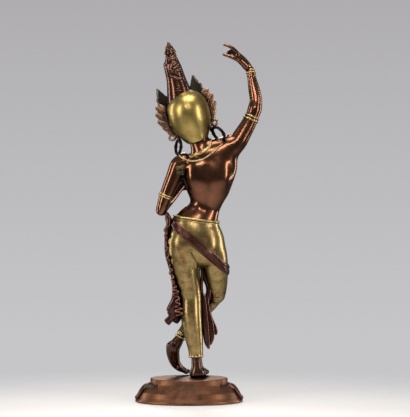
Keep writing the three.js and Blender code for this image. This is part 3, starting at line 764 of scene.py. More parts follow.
LEAF_HALF = [  # half width and height, from the foot up
    (3, 0),
    (8.6, 3),
    (10.2, 8),
    (8.4, 11),
    (9.8, 16.5),
    (7.6, 19),
    (7.4, 23.6),
    (4.8, 26),
    (2.6, 31),
]


def leaf_outline(width, height):
    """An ogee leaf with side lobes that swell between sharp notches."""
    half = np.array(LEAF_HALF) * (width / 10.2, height / 36)
    right = []
    for (x0, z0), (x1, z1) in zip(half, half[1:]):
        for share in (0, 0.33, 0.66):
            swell = 0.5 * math.sin(share * math.pi)
            right.append((x0 + (x1 - x0) * share + swell, z0 + (z1 - z0) * share - swell * 0.4))
    right.append(half[-1])
    left = [(-x, z) for x, z in reversed(right)]
    return [*right, (0, height), *left]


def crown_leaf(clay, turn, width, height):
    stand = turned("Z", turn) @ moved(0, -20.6, 6) @ turned("X", 13)
    clay.add(plate(leaf_outline(width, height), stand, 1.7, rim=0.75, bow=0.8), 0.2)
    jewel = placed(stand, [(0, -1.2, height * 0.36)])[0]
    clay.add(ball(jewel, (2.6, 1.6, 3.6)), 0.3)
    setting = hoop(jewel, -stand[:3, 1], (0, 0, 1), (5, 3.8), 24)
    clay.add(cord(setting, 0.6, True), 0.2)
    for side in (1, -1):
        points, sizes = curl((4.6 * side, -1, height * 0.16), (side, 0, 0), (0, 0, 1), 2.6, 1.3, 0.75)
        clay.add(cord(placed(stand, points), sizes), 0.2)
        vein = [(1.2, -0.9, 0.5), (3.4, -1, 0.62), (1.4, -1, 0.86)]
        vein = spline([(x * side, y, z * height) for x, y, z in vein], 1)
        clay.add(cord(placed(stand, vein), 0.55), 0.2)


def crown():
    clay = Clay((-30, -36, -2), (30, 4, 46), 0.5)
    for turn, width, height in ((0, 9.6, 35), (45, 11, 32.4), (-45, 11, 33.6)):
        crown_leaf(clay, turn, width, height)
    turns = np.radians(np.arange(-98, 99, 5))
    arc = [(21.6 * math.sin(turn), -23 * math.cos(turn), 7.4) for turn in turns]
    for lift, size in ((0, 1.1), (2.4, 0.8), (-1.8, 0.7)):
        clay.add(cord(np.array(arc) + (0, 0, lift), size), 0.3)
    for point in spline(arc, 2.2)[:, :3]:
        clay.add(ball(point * (1.03, 1.03, 1) + (0, 0, 1.2), 0.95), 0.1)
    return clay


FEATHERS = [  # root, middle and tip, then the half width
    ((17, 6), (20, 13.6), (23.4, 19.4), 3.4),
    ((18.4, 3), (22.6, 11.8), (27.2, 19), 3.6),
    ((19, -1), (24.6, 7), (29.6, 12.6), 3.9),
    ((19.4, -5), (25.6, 1), (30, 5.2), 3.8),
    ((19, -9), (23.8, -4.8), (27.4, -1.8), 3.6),
    ((18, -13), (21.6, -10.2), (24.2, -8.4), 3.4),
]


def ear_fan(side):
    """Scrolls and rounded feathers that spread over an ear, on a thin ground."""
    low, high = ((12, -12, -22), (38, 4, 27)) if side > 0 else ((-38, -12, -22), (-12, 4, 27))
    clay = Clay(low, high, 0.42)
    ground = [(18.4, -2.6, -13, 3.4, 1), (22, -1.8, -2, 5.6, 1), (21.6, -2.2, 10, 5, 1)]
    clay.add(limb([(x * side, *rest) for x, *rest in ground]))
    for root, middle, tip, half in FEATHERS:
        line = [(x * side, -2.2 + 0.02 * z, z) for x, z in (root, middle, tip)]
        rows = [(*p, w * half, d) for p, w, d in zip(line, (0.7, 1, 0.55), (1.3, 1.7, 1.1))]
        clay.add(limb(rows, pitch=1.2), 0.3)
        vein = spline(line, 1.2)[2:]
        for lift in (1.75, -1.75):
            clay.cut(cord(vein + (0, lift, 0), 0.5), 0.3)
    hook = [(18.6, -14), (21, -17), (24.4, -16.6), (25.6, -13.8), (23.6, -12.6)]
    clay.add(wire([(x * side, -2.4, z) for x, z in hook], 1.6, 1), 0.4)
    clay.add(ball((19.6 * side, -4.2, 3), (3.4, 2, 3.4)), 0.4)
    clay.add(cord(hoop((19.6 * side, -4.6, 3), (0, 1, 0), (1, 0, 0), (4.2, 4.2), 28), 0.7, True), 0.3)
    return clay


# Lower cloth, belt, scarf and their hanging ends

BELT = np.array((-11.8, 0.5, 158.4))
BELT_NORMAL = (-math.sin(math.radians(8)), 0, math.cos(math.radians(8)))
SCARF_MIDDLE = np.array((-10.6, -1, 132.6))
SCARF_RISE = math.radians(41)


def lower_cloth():
    clay = Clay((-46, -33, 12), (27, 26, 166), 0.74)
    clay.add(limb(HIPS), reach=5)
    clay.add(ball((5.6, 6.4, 135), (13.4, 13.2, 15)), 4, reach=5)  # seat
    clay.add(ball((-19, 6, 132), (12.6, 13, 15)), 4, reach=5)
    clay.add(limb(STANDING_LEG), 3, reach=5)
    clay.smoothed()
    crossed = clay.block((-46, -33, 32), (20, 26, 152))
    crossed.add(limb(CROSSED_THIGH), reach=5)
    crossed.add(limb(CROSSED_SHIN), 1.6, reach=5)
    clay.join(crossed.smoothed((1, 2, 1)), 2.5)
    fold = clay.settled(spline([(-2, 17, 127), (-7, 14.4, 118), (-10.6, 10, 108), (-12.6, 5.6, 98)], 1.6))
    clay.cut(cord(fold, 0.7), 1)
    for rows in FRONT_FOLDS:
        clay.add(cord(clay.settled(spline(rows, 1.6)), 0.7), 1.6)
    knee = [(-30.4, -8, 76), (-25, -5.4, 75.4), (-20, -7.6, 73.6)]
    for lift in (0, 3.4):  # folds behind the bent knee
        clay.cut(cord(clay.settled(spline(np.array(knee) + (0, 0, lift), 1.4)), 0.45), 1.2)
    hem = hoop((-7, 0.8, 21.4), (0.06, 0, 1), (1, 0, 0), (7.2, 7.3))
    clay.add(cord(clay.settled(hem), 0.75, True), 0.5)
    cuff = hoop((7.4, -15.6, 42.4), unit((5.8, 1.6, -7)), (0, 1, 0), (5.4, 5.4), 28)
    clay.add(cord(clay.settled(cuff), 0.7, True), 0.5)
    clay.cut(beyond(BELT + (0, 0, 1.2), BELT_NORMAL), 0.6)
    clay.cut(beyond((-7, 0, 19.6), (0, 0, -1)), 0.5)
    clay.cut(limb([(-7.4, 0.8, 12, 6, 6.2), (-7, 0.8, 20.6, 6, 6.2)]), 0.3)
    return clay


FRONT_FOLDS = [
    [(16, -12, 128), (9, -17, 122), (2, -16, 121), (-4, -14, 125)],
    [(15, -12, 114), (8, -16, 108), (1, -15.6, 107), (-6, -12, 111)],
    [(12, -11, 99), (5, -14, 94), (-2, -13.6, 94), (-8, -9, 98)],
    [(-34, -12, 128), (-27, -17.6, 122), (-19, -17, 121), (-13, -13, 126)],
    [(-36, -14, 114), (-29, -19.6, 108), (-21, -19.6, 108), (-15, -14, 113)],
    [(-37, -18, 100), (-30, -23, 95), (-22, -22, 96), (-17, -17, 101)],
    [(-14, -25.6, 70), (-11, -26.6, 64), (-5.6, -25, 62), (-2, -21, 62)],
    [(-3, -24.6, 58), (-0.4, -24.4, 53), (4, -22, 51), (6.4, -18.6, 51)],
]


def belt(cloth):
    clay = Clay((-38, -20, 148), (16, 22, 168), 0.42)
    around = girdle(cloth, BELT - (0, 0, 1.4), BELT_NORMAL, 0.1)
    clay.add(cord(around + (0, 0, 1.7), 1.15, True))
    clay.add(cord(around + (0, 0, -0.5), 0.7, True), 0.2)
    front = around[around[:, 1].argmin()]
    clay.add(ball(front + (0, -0.8, 0.6), (4.4, 2, 4.2)), 0.4)
    clay.add(cord(hoop(front + (0, -1.4, 0.6), (0, 1, 0), (1, 0, 0), (3.6, 3.4), 26), 0.6, True), 0.2)
    return clay


def festoons(cloth):
    """Looped chains that hang from the belt in front."""
    clay = Clay((-40, -30, 116), (24, 2, 160), 0.42)
    for x0, x1, drop in ((-34, -23, 17), (-23, -12, 15), (-12, -1, 15), (-1, 10, 14)):
        share = np.linspace(0, 1, 26)
        x = x0 + (x1 - x0) * share
        z = 153.4 + 0.13 * (x + 12) - drop * np.sin(share * math.pi) ** 0.8
        points = cloth.settled(np.stack([x, np.full_like(x, -19.0), z], 1), 0.3)
        clay.add(cord(points, 0.62), 0)
        for bead in points[2::3]:
            clay.add(ball(bead, 1.1), 0.1)
        low = points[len(points) // 2]
        clay.add(ball(low + (0, -0.5, -1.8), (1.5, 1.2, 2.2)), 0.3)
    return clay


def hip_scarf(cloth):
    clay = Clay((-46, -30, 92), (26, 28, 170), 0.52)
    normal = np.array((-math.sin(SCARF_RISE), 0, math.cos(SCARF_RISE)))
    ridges = ((-3.6, 1.0, 0.5), (-1.9, 1.05, 1.1), (-0.1, 0.95, 1.2), (1.7, 1.1, 1.1), (3.5, 0.95, 0.5))
    for offset, size, proud in ridges:
        clay.add(cord(girdle(cloth, SCARF_MIDDLE + normal * offset, normal, proud), size, True), 0.25)
    for offset in (-2, 2):
        clay.add(cord(girdle(cloth, SCARF_MIDDLE + normal * offset, normal, 0), 1.9, True), 0.2)
    return clay


def left_scarf_end():
    """The gathered end of the scarf, four folds deep down the outer side of the leg, its edges crinkled."""
    clay = Clay((2, -20, 46), (30, 16, 172), 0.56)
    rows = [
        (21.4, 6, 152, 2.2, 3),
        (21.8, 5.4, 140, 2.6, 3.4),
        (21, 4.6, 124, 3, 3.6),
        (16.6, 4, 106, 2.4, 3.6),
        (14.2, 4, 92, 2.8, 3.6),
        (13, 4, 80, 4.6, 3.2),
        (15, 4, 70, 6.8, 2.8),
        (18, 4, 65, 6, 1.6),
    ]
    for i in range(4):
        fold = np.array(rows, float)
        fold += i * np.array((0, -5.2, 0, -0.3, 0))
        fold[2:, 0] -= 0.7 * i
        fold[:, 1] += 2 * (i > 0)
        fold[:, 2] -= i * (1.4 + 0.25 * np.arange(len(rows)))
        clay.add(limb(fold, dome=0.5), 0.4)
    for i in range(2):  # the tail under the flounce
        tail = [
            (8.4, 3 - 6 * i, 68, 2.6, 1.8),
            (15.6, 3 - 6 * i, 62.4 - i, 3, 2),
            (23 - i, 3 - 6.4 * i, 56 - 2 * i, 3, 1.4),
        ]
        clay.add(limb(tail, dome=0.5), 0.3)
    for y, shift in ((8.2, 0.0), (-13.6, 0.5)):  # crinkled edges
        z = np.arange(63, 152, 0.8)
        inner = np.interp(z, (63, 77, 98, 124, 146), (8, 9.6, 14.4, 19.6, 21.6))
        swing = np.interp(z, (63, 84, 100, 150), (3, 2.4, 1.4, 1.1)) * (1 + 0.35 * np.sin(z * 0.31 + shift))
        x = inner + 1.6 + swing * np.sin(z * 1.15 + 1.1 * np.sin(z * 0.27) + shift)
        near = y + 1.2 * np.cos(z * 0.57 + shift)
        clay.add(cord(np.stack([x, near, z], 1), 1.05), 0.3)
    loop = [
        (22.4, 3.6, 164.6, 2.2, 2.6),
        (20.8, 4, 160, 3.2, 3),
        (20, 4.4, 154, 2.7, 3),
        (21.2, 5, 147, 2.4, 3),
    ]
    clay.add(limb(loop), 0.8)
    for x, lean in ((19, 0.6), (21.6, 0.2)):
        clay.add(wire([(x + 1.6, 7, 163.4), (x, 7.4, 158), (x + lean, 8, 150)], 0.7, 0.5), 0.4)
    return clay


PLEATS = [
    [
        (-14, 0, 83, 1.8, 1.6), (-14.8, 0.4, 68, 2.8, 2), (-16, 0.6, 52, 3.2, 2),
        (-17.8, 0.6, 36, 2.8, 1.4), (-19.6, 0.4, 29, 1, 1),
    ],
    [
        (-17, -1.8, 79, 2, 1.4), (-18.2, -1.6, 66, 2.8, 1.6), (-21.2, -1.2, 52, 3.2, 1.6),
        (-22.8, -1, 40, 2.2, 1.4), (-21.4, -1, 33, 1, 1),
    ],
    [
        (-18.4, -3.8, 72, 1.5, 1.4), (-21.2, -3.4, 60, 2.1, 1.6), (-26, -3, 48, 2.2, 1.4),
        (-26.6, -2.6, 42.8, 1.1, 1),
    ],
    [
        (-16, -6.4, 76, 3, 1.6), (-17.6, -6.8, 60, 4, 1.8), (-20, -7.4, 44, 3.2, 1.4),
        (-20.8, -7.6, 33, 1.2, 1),
    ],
]
BETWEEN_LEGS = [
    [
        (-13, -1, 115, 1.6, 3), (-12.8, -3, 100, 1.5, 3), (-12.4, -3.4, 88, 1.7, 3),
        (-13.4, -2, 79, 2.4, 2.4),
    ],
    [
        (-13.6, -3, 113, 2, 3), (-16.4, -5, 100, 2.9, 3), (-19.6, -6, 91, 2.9, 3),
        (-19.8, -5, 84, 3.2, 3), (-17, -3, 77, 3.4, 2.4),
    ],
]


def right_skirt_end():
    """Dark cloth between the legs, and the flat pleats below it that end in points."""
    clay = Clay((-34, -14, 20), (-6, 8, 120), 0.56)
    for rows in BETWEEN_LEGS:
        clay.add(limb(rows), 0.6)
    for rows in PLEATS:
        clay.add(limb(rows, dome=0.5), 0.3)
        edge = spline(rows, 1.5)
        side = edge[:, :3] + np.stack([-edge[:, 3], 0.5 * edge[:, 4], 0 * edge[:, 3]], 1)
        clay.add(cord(side, 0.5), 0.4)  # a hem along each pleat
    return clay


def shoulder_stump():
    """The worn stub of a broken scarf or stem behind the left shoulder."""
    clay = Clay((0, 2, 200), (17, 18, 218), 0.34)
    lumps = [
        ((8.3, 8.6, 208.4), 4.6),
        ((6, 9, 211), 2.6),
        ((11, 8.8, 210.4), 2.8),
        ((10, 9.4, 205.4), 2.6),
        ((6.4, 9.2, 205.6), 2.4),
    ]
    for middle, size in lumps:
        clay.add(ball(middle, (size, size * 0.8, size)), 0.8)
    for middle, size in (((8.6, 12.6, 208.6), 1.5), ((5.4, 11.4, 208.4), 0.9), ((10.8, 11.8, 207.6), 1)):
        clay.cut(ball(middle, size), 0.5)
    return clay


# Jewels

def necklaces(skin):
    clay = Clay((-42, -28, 190), (16, 24, 244), 0.44)
    lower = [
        (6.4, 7, 219.4), (-3, 12, 217.6), (-12, 13, 218.6), (-22, 12, 224.6), (-31, 8, 231.4),
        (-34.4, -1, 231), (-30, -10, 222), (-21, -14, 211), (-12, -14, 206), (-3, -14, 209),
        (4.6, -9, 215.6), (8, 0, 220.8),
    ]
    line = skin.settled(spline(lower, 1.2, closed=True)[:-1], 0.25)
    clay.add(cord(line, 0.95, True))
    upper = [
        (-2, 9.4, 223.4), (-12, 11.6, 226), (-20.4, 8.6, 231), (-23.4, 0.6, 233.4), (-19, -8, 229.4),
        (-11.6, -11, 225), (-4, -8.6, 222.6), (-0.6, 0.6, 222),
    ]
    for lift in (0.9, -0.9):
        band = spline(np.array(upper) + (0, 0, lift), 1.2, closed=True)[:-1]
        clay.add(cord(skin.settled(band, 0.2), 0.95, True), 0.5)
    for point in line[line[:, 1] < -7][::3]:  # drops along the front
        clay.add(ball(point + (0, -0.6, -0.2), 1.35), 0.2)
        clay.add(ball(skin.settled([point + (0, 0, -2.4)], 0.4)[0], (0.9, 0.8, 1.3)), 0.2)
    pendant = skin.settled([(-12.4, -15, 201.6)], 0.6)[0]
    clay.add(ball(pendant, (2.8, 1.6, 3.4)), 0.3)
    clay.add(cord(hoop(pendant + (0, -0.6, 0), (0, 1, 0.1), (0, 0, 1), (4.4, 3.6), 26), 0.6, True), 0.2)
    return clay


def arm_band(skin, rows, share, half, count, jewel=False):
    """Turns of wire round a limb at a share of its length, with a jewel in front."""
    at, along, widthwise, size = limb_place(rows, share)
    clay = Clay(at - 13, at + 13, 0.36)
    for offset in np.linspace(-half, half, count):
        ring = hoop(at + along * offset, along, widthwise, size + 0.3, 44)
        clay.add(cord(skin.settled(ring, 0.3), 0.85, True), 0.3)
    if jewel:
        beads = ((0, 0, 2.1), (2.6, 0, 1.5), (4.6, 0, 0.9), (0, 2.4, 1.2), (0, -2.4, 1.2))
        for lift, drop, radius in beads:
            spot = at + along * (lift + half) + widthwise * drop + (0, -size[1], 0)
            clay.add(ball(skin.settled([spot], 0.5)[0], radius), 0.3)
    return clay


def anklet(feet_clay):
    clay = Clay((-2, -26, 26), (22, 0, 50), 0.36)
    at, along, widthwise, size = limb_place(CROSSED_ANKLE, 0.1)
    ring = feet_clay.settled(hoop(at, along, widthwise, size + 0.3, 40), 0.3)
    return clay.add(cord(ring, 0.95, True))


EARRINGS = [  # middle, direction of its axis, radius
    ((10.6, -1, 231.2), (0.93, 0.36, 0.1), 7.2),
    ((-29.5, 7.5, 244.5), (0.66, 0.55, -0.51), 7.8),
]


def earring(middle, axis, radius):
    clay = Clay(np.array(middle) - 11, np.array(middle) + 11, 0.36)
    ring = hoop(np.array(middle), axis, (0, 0, 1), (radius, radius), 56)
    clay.add(cord(ring, 1.5, True))
    for point in ring[::14]:
        clay.add(ball(point, 1.85), 0.6)
    return clay


# Pedestal, in the part's own frame with its underside at z = 0

FOOT, FLATTEN, TALL = 54.0, 0.68, 24.0  # half width at the foot, half depth over half width, height
PLAIN_BACK = math.radians(80)  # how far the plain back reaches round to each side
COLLAR_FACE = 30.5  # and how far to each side it covers the collar


def oval_turned(profile):
    """A body turned from an outline of [half width, z] and flattened front to back."""
    outline = np.array([*profile, *mirrored(reversed(profile))], float)

    def distance(x, y, z):
        away = np.hypot(x, y / FLATTEN)
        squeeze = 1 - 0.16 * (x / np.maximum(away, 1)) ** 2
        return outline_distance(outline, away, z + 0 * away) * squeeze

    reach = outline[:, 0].max()
    return [(np.array((-reach, -reach * FLATTEN, 0)), np.array((reach, reach * FLATTEN, TALL)), distance)]


def flank_point(turn, reach, z):
    return (math.sin(turn) * FOOT * reach, -math.cos(turn) * FOOT * reach * FLATTEN, z)


PETAL = [  # share of the foot's half width, height, share of the petal's half width
    (0.755, 16.2, 0.62),
    (0.85, 13.4, 0.94),
    (0.9, 9.8, 1.0),
    (0.935, 6.2, 0.74),
    (0.985, 3.6, 0.16),
]


def petal(clay, turn, half_turn, proud, rim):
    """A lotus petal with its tip down, with a raised rim and a swelling middle."""
    outward = (math.sin(turn) * FLATTEN, -math.cos(turn), 0)
    width = FOOT * half_turn * 0.86
    rows = [(*flank_point(turn, reach, z), width * wide, proud) for reach, z, wide in PETAL]
    clay.add(limb(rows, pitch=1.6, deep=outward), 0.3)
    for way in (half_turn, -half_turn):
        edge = [flank_point(turn + way * wide, reach + 0.012, z) for reach, z, wide in PETAL]
        clay.add(wire(edge, rim), 0.2)
        way *= 0.55
        inner = [flank_point(turn + way * wide, reach + 0.03, z + 0.6) for reach, z, wide in PETAL[:-1]]
        clay.add(wire(inner, rim * 0.7, rim * 0.4), 0.3)


def pedestal():
    clay = Clay((-58, -41, -2), (58, 40, 26), 0.72)
    under = [(0, 0), (FOOT - 0.6, 0), (FOOT, 0.7), (FOOT, 2.2)]
    flank = [*under, (50.4, 4.2), (47.6, 10), (43.4, 15), (40, 16.6), (38, 17.6), (38.8, 18.6)]
    clay.add(oval_turned([*flank, (38.8, 23.2), (38.2, 24), (0, 24)]), reach=4)
    petals = 11
    span_ = 2 * (math.pi - PLAIN_BACK)
    for i in range(1, petals):
        petal(clay, span_ * (i / petals - 0.5), 0.5 * span_ / petals, 1.2, 0.5)
    for i in range(petals):
        petal(clay, span_ * ((i + 0.5) / petals - 0.5), 0.47 * span_ / petals, 2.1, 0.75)
    lower = clay.block((-58, 0, -2), (58, 40, 26))
    smooth = [*under, (51.6, 5.6), (49, 10.4), (45, 14.6)]
    lower.add(oval_turned([*smooth, (41, 17), (38.6, 17.6), (0, 17.6)]), reach=4)
    for side in (1, -1):
        edge = (side * math.cos(PLAIN_BACK), -math.sin(PLAIN_BACK) * FLATTEN, 0)
        lower.cut(beyond((0, 0, 0), edge), 0.3)
    upper = clay.block((-58, 0, -2), (58, 40, 26))
    upper.add(oval_turned([*smooth, (42, 18.4), (40.2, 22), (39.6, 23.4), (39.2, 24), (0, 24)]), reach=4)
    for side in (1, -1):
        upper.cut(beyond((side * COLLAR_FACE, 0, 0), (side, 0, 0)))
    clay.join(lower, 0.4)
    clay.join(upper)
    clay.cut(beyond((0, 0, 0), (0, 0, -1)))
    return clay


# Finishes. Colours are sRGB hex turned to linear values; pattern sizes are millimetres.

def hex_colour(code):
    def linear(c):
        return c / 12.92 if c <= 0.04045 else ((c + 0.055) / 1.055) ** 2.4

    return (*(linear(int(code[i:i + 2], 16) / 255) for i in (1, 3, 5)), 1.0)


def per_mm(size):
    """The texture scale that gives marks of this size in millimetres."""
    return 1 / (size * MM)


def add_node(tree, kind, inputs=None, **settings):
    """Adds a node with its settings; an input is a value or the socket that feeds it."""
    node = tree.nodes.new("ShaderNode" + kind)
    for name, value in settings.items():
        setattr(node, name, value)
    for name, value in (inputs or {}).items():
        if isinstance(value, bpy.types.NodeSocket):
            tree.links.new(value, node.inputs[name])
        else:
            node.inputs[name].default_value = value
    return node


def new_material(name):
    material = bpy.data.materials.new(name)
    material.use_nodes = True
    tree = material.node_tree
    tree.nodes.clear()
    return material, tree


def cast_metal(name, dirt_and_shade_colour, ground, tint, rubbed, rough, mottle=9.0, wear=1.0,
               stain=None, stain_size=14.0, stain_share=0.5, punch=0.0, coat=0.0):
    """Cast and chased copper alloy, with a patina that stays dark in the hollows and is rubbed bright on
    the ridges. The dark colour in hollows, creases, corners and under overhanging parts is partly dirt and
    partly painted shade. rough is the roughness of the rubbed places and of the dull ones, and punch the
    spacing of punched dots, or 0 for none."""
    material, tree = new_material(name)
    place = add_node(tree, "TexCoord").outputs["Object"]
    hollow_dirt_and_shade = add_node(tree, "Attribute", attribute_name="hollow_dirt_and_shade").outputs["Fac"]
    worn = add_node(tree, "Attribute", attribute_name="worn").outputs["Fac"]
    clouds = add_node(tree, "TexNoise",
                      {"Vector": place, "Scale": per_mm(mottle), "Detail": 5.0, "Roughness": 0.62})
    grains = add_node(tree, "TexNoise",
                      {"Vector": place, "Scale": per_mm(2.2), "Detail": 3.0, "Roughness": 0.6})
    drift = add_node(tree, "MapRange", {0: clouds.outputs["Fac"], 1: 0.36, 2: 0.64})
    colour = add_node(tree, "Mix", {0: drift.outputs[0], 6: hex_colour(ground), 7: hex_colour(tint)},
                      data_type="RGBA").outputs[2]
    if stain:
        spots = add_node(tree, "TexNoise",
                         {"Vector": place, "Scale": per_mm(stain_size), "Detail": 7.0, "Roughness": 0.68})
        edge = 0.72 - 0.3 * stain_share
        share = add_node(tree, "MapRange", {0: spots.outputs["Fac"], 1: edge - 0.05, 2: edge + 0.07})
        colour = add_node(tree, "Mix", {0: share.outputs[0], 6: colour, 7: hex_colour(stain)},
                          data_type="RGBA").outputs[2]
    bump_height = grains.outputs["Fac"]
    if punch:
        dots = add_node(tree, "TexVoronoi", {"Vector": place, "Scale": per_mm(punch), "Randomness": 0.8})
        hollow = add_node(tree, "MapRange", {0: dots.outputs["Distance"], 1: 0.12, 2: 0.42})
        dark = add_node(tree, "MapRange", {0: dots.outputs["Distance"], 1: 0.1, 2: 0.36, 3: 0.62, 4: 0.0})
        colour = add_node(tree, "Mix", {0: dark.outputs[0], 6: colour, 7: hex_colour(dirt_and_shade_colour)},
                          data_type="RGBA").outputs[2]
        bump_height = add_node(tree, "Math", {0: hollow.outputs[0], 1: grains.outputs["Fac"]},
                               operation="ADD").outputs[0]
    gritty = add_node(tree, "Math", {0: grains.outputs["Fac"], 1: 0.5, 2: -0.25}, operation="MULTIPLY_ADD")
    # Painted shade and dirt: the hollow colour laid into creases, corners and places under overhanging
    # parts, with a little grit
    dirt_and_shade_mix = add_node(tree, "Math", {0: hollow_dirt_and_shade, 1: 1.25, 2: gritty.outputs[0]},
                     operation="MULTIPLY_ADD", use_clamp=True)
    colour = add_node(tree, "Mix", {0: dirt_and_shade_mix.outputs[0], 6: colour, 7: hex_colour(dirt_and_shade_colour)},
                      data_type="RGBA").outputs[2]
    rub = add_node(tree, "Math", {0: worn, 1: wear, 2: gritty.outputs[0]},
                   operation="MULTIPLY_ADD", use_clamp=True)
    colour = add_node(tree, "Mix", {0: rub.outputs[0], 6: colour, 7: hex_colour(rubbed)},
                      data_type="RGBA").outputs[2]
    dull = add_node(tree, "Math", {0: clouds.outputs["Fac"], 1: 0.7, 2: hollow_dirt_and_shade}, operation="MULTIPLY_ADD")
    gloss = add_node(tree, "MapRange", {0: dull.outputs[0], 1: 0.2, 2: 1.0, 3: rough[0], 4: rough[1]})
    bump = add_node(tree, "Bump", {"Height": bump_height, "Strength": 0.3, "Distance": 0.05 * MM})
    waves = add_node(tree, "TexNoise", {"Vector": place, "Scale": per_mm(16.0), "Detail": 1.0})
    chased = add_node(tree, "Bump", {"Height": waves.outputs["Fac"], "Strength": 0.4, "Distance": 0.5 * MM,
                                     "Normal": bump.outputs[0]})
    shader = add_node(tree, "BsdfPrincipled", {
        "Base Color": colour,
        "Metallic": 1.0,
        "Roughness": gloss.outputs[0],
        "Normal": chased.outputs[0],
        "Coat Weight": coat,
        "Coat Roughness": 0.16,
    })
    add_node(tree, "OutputMaterial", {"Surface": shader.outputs[0]})
    return material


# Copper handled for centuries: a waxy red-brown patina, a little lighter where it is rubbed.
BROWNED_COPPER = cast_metal(
    "polished brown copper", "#1a0e09", "#5f3a27", "#704831", "#9a6c50", (0.18, 0.34),
    mottle=16, wear=0.45, coat=0.35,
)
# The same patina on the feet, nearly black with dirt.
DARKENED_COPPER = cast_metal(
    "blackened foot copper", "#120c09", "#3e2a20", "#54382a", "#80604c", (0.24, 0.44),
    mottle=12, wear=0.5, coat=0.3,
)
# Fire gilding rubbed thin over copper, satin, with an olive cast where it is thinnest.
RUBBED_GILDING = cast_metal(
    "rubbed yellow gilding", "#3d321c", "#b59d60", "#92804a", "#cbb684", (0.32, 0.48),
    mottle=13, wear=0.6,
)
# The gilt lower cloth: a ground of punched dots that hold dark dirt, stained red where the gilding is lost.
PUNCHED_CLOTH = cast_metal(
    "punched gilt cloth", "#30251a", "#a08a5c", "#7c6a44", "#c2ab7c", (0.27, 0.42),
    mottle=7, stain="#6f4733", stain_size=10, stain_share=0.4, punch=1.6, wear=0.6,
)
# Ungilt scarves: red-brown with dark grooves and pinkish ridges.
SCARF_COPPER = cast_metal(
    "dark red scarf copper", "#130a08", "#4a2d25", "#38201a", "#9a6856", (0.26, 0.48),
    wear=0.7, coat=0.2,
)
# Hair bound up in a tall knot: dark red-brown, polished.
HAIR_COPPER = cast_metal(
    "polished dark hair copper", "#180d09", "#5a3729", "#452a20", "#94705c", (0.2, 0.38),
    mottle=12, wear=0.4, coat=0.3,
)
# Crown: blackened and greenish where it is plain.
CROWN_COPPER = cast_metal(
    "blackened crown copper", "#120f0c", "#4a443a", "#34362f", "#7c6a58", (0.32, 0.5),
    wear=0.5, stain="#5c4636", stain_size=14, stain_share=0.3, coat=0.2,
)
# Feathers at the ears: copper brown with dark veins and a dusty lighter rim.
FEATHER_COPPER = cast_metal(
    "brown feather copper", "#1c130e", "#8a6a54", "#6c5140", "#b29880", (0.3, 0.5),
    wear=0.6, stain="#4a3c30", stain_size=9, stain_share=0.35,
)
# Earrings: black all over with a dull shine.
BLACK_COPPER = cast_metal(
    "black earring copper", "#0a0807", "#241d1a", "#181210", "#40342e", (0.34, 0.5),
    wear=0.3,
)
# Pedestal: smooth orange-brown copper with dark stains low down.
RED_COPPER = cast_metal(
    "red pedestal copper", "#251812", "#76503c", "#614130", "#94705a", (0.36, 0.52),
    mottle=20, stain="#47352b", stain_size=24, stain_share=0.5, wear=0.5,
)
# Green corrosion on a broken edge.
GREENED_COPPER = cast_metal(
    "greened broken copper", "#15110b", "#54432f", "#443a2a", "#86724a", (0.45, 0.7),
    stain="#4c6044", stain_size=4, stain_share=0.35, wear=0.5,
)


# Pieces

# Everything together, for the dirt and the painted shade that darken corners, hollows and the gaps between
# parts
whole = Clay((-80, -44, -4), (42, 30, 340), 1.15)


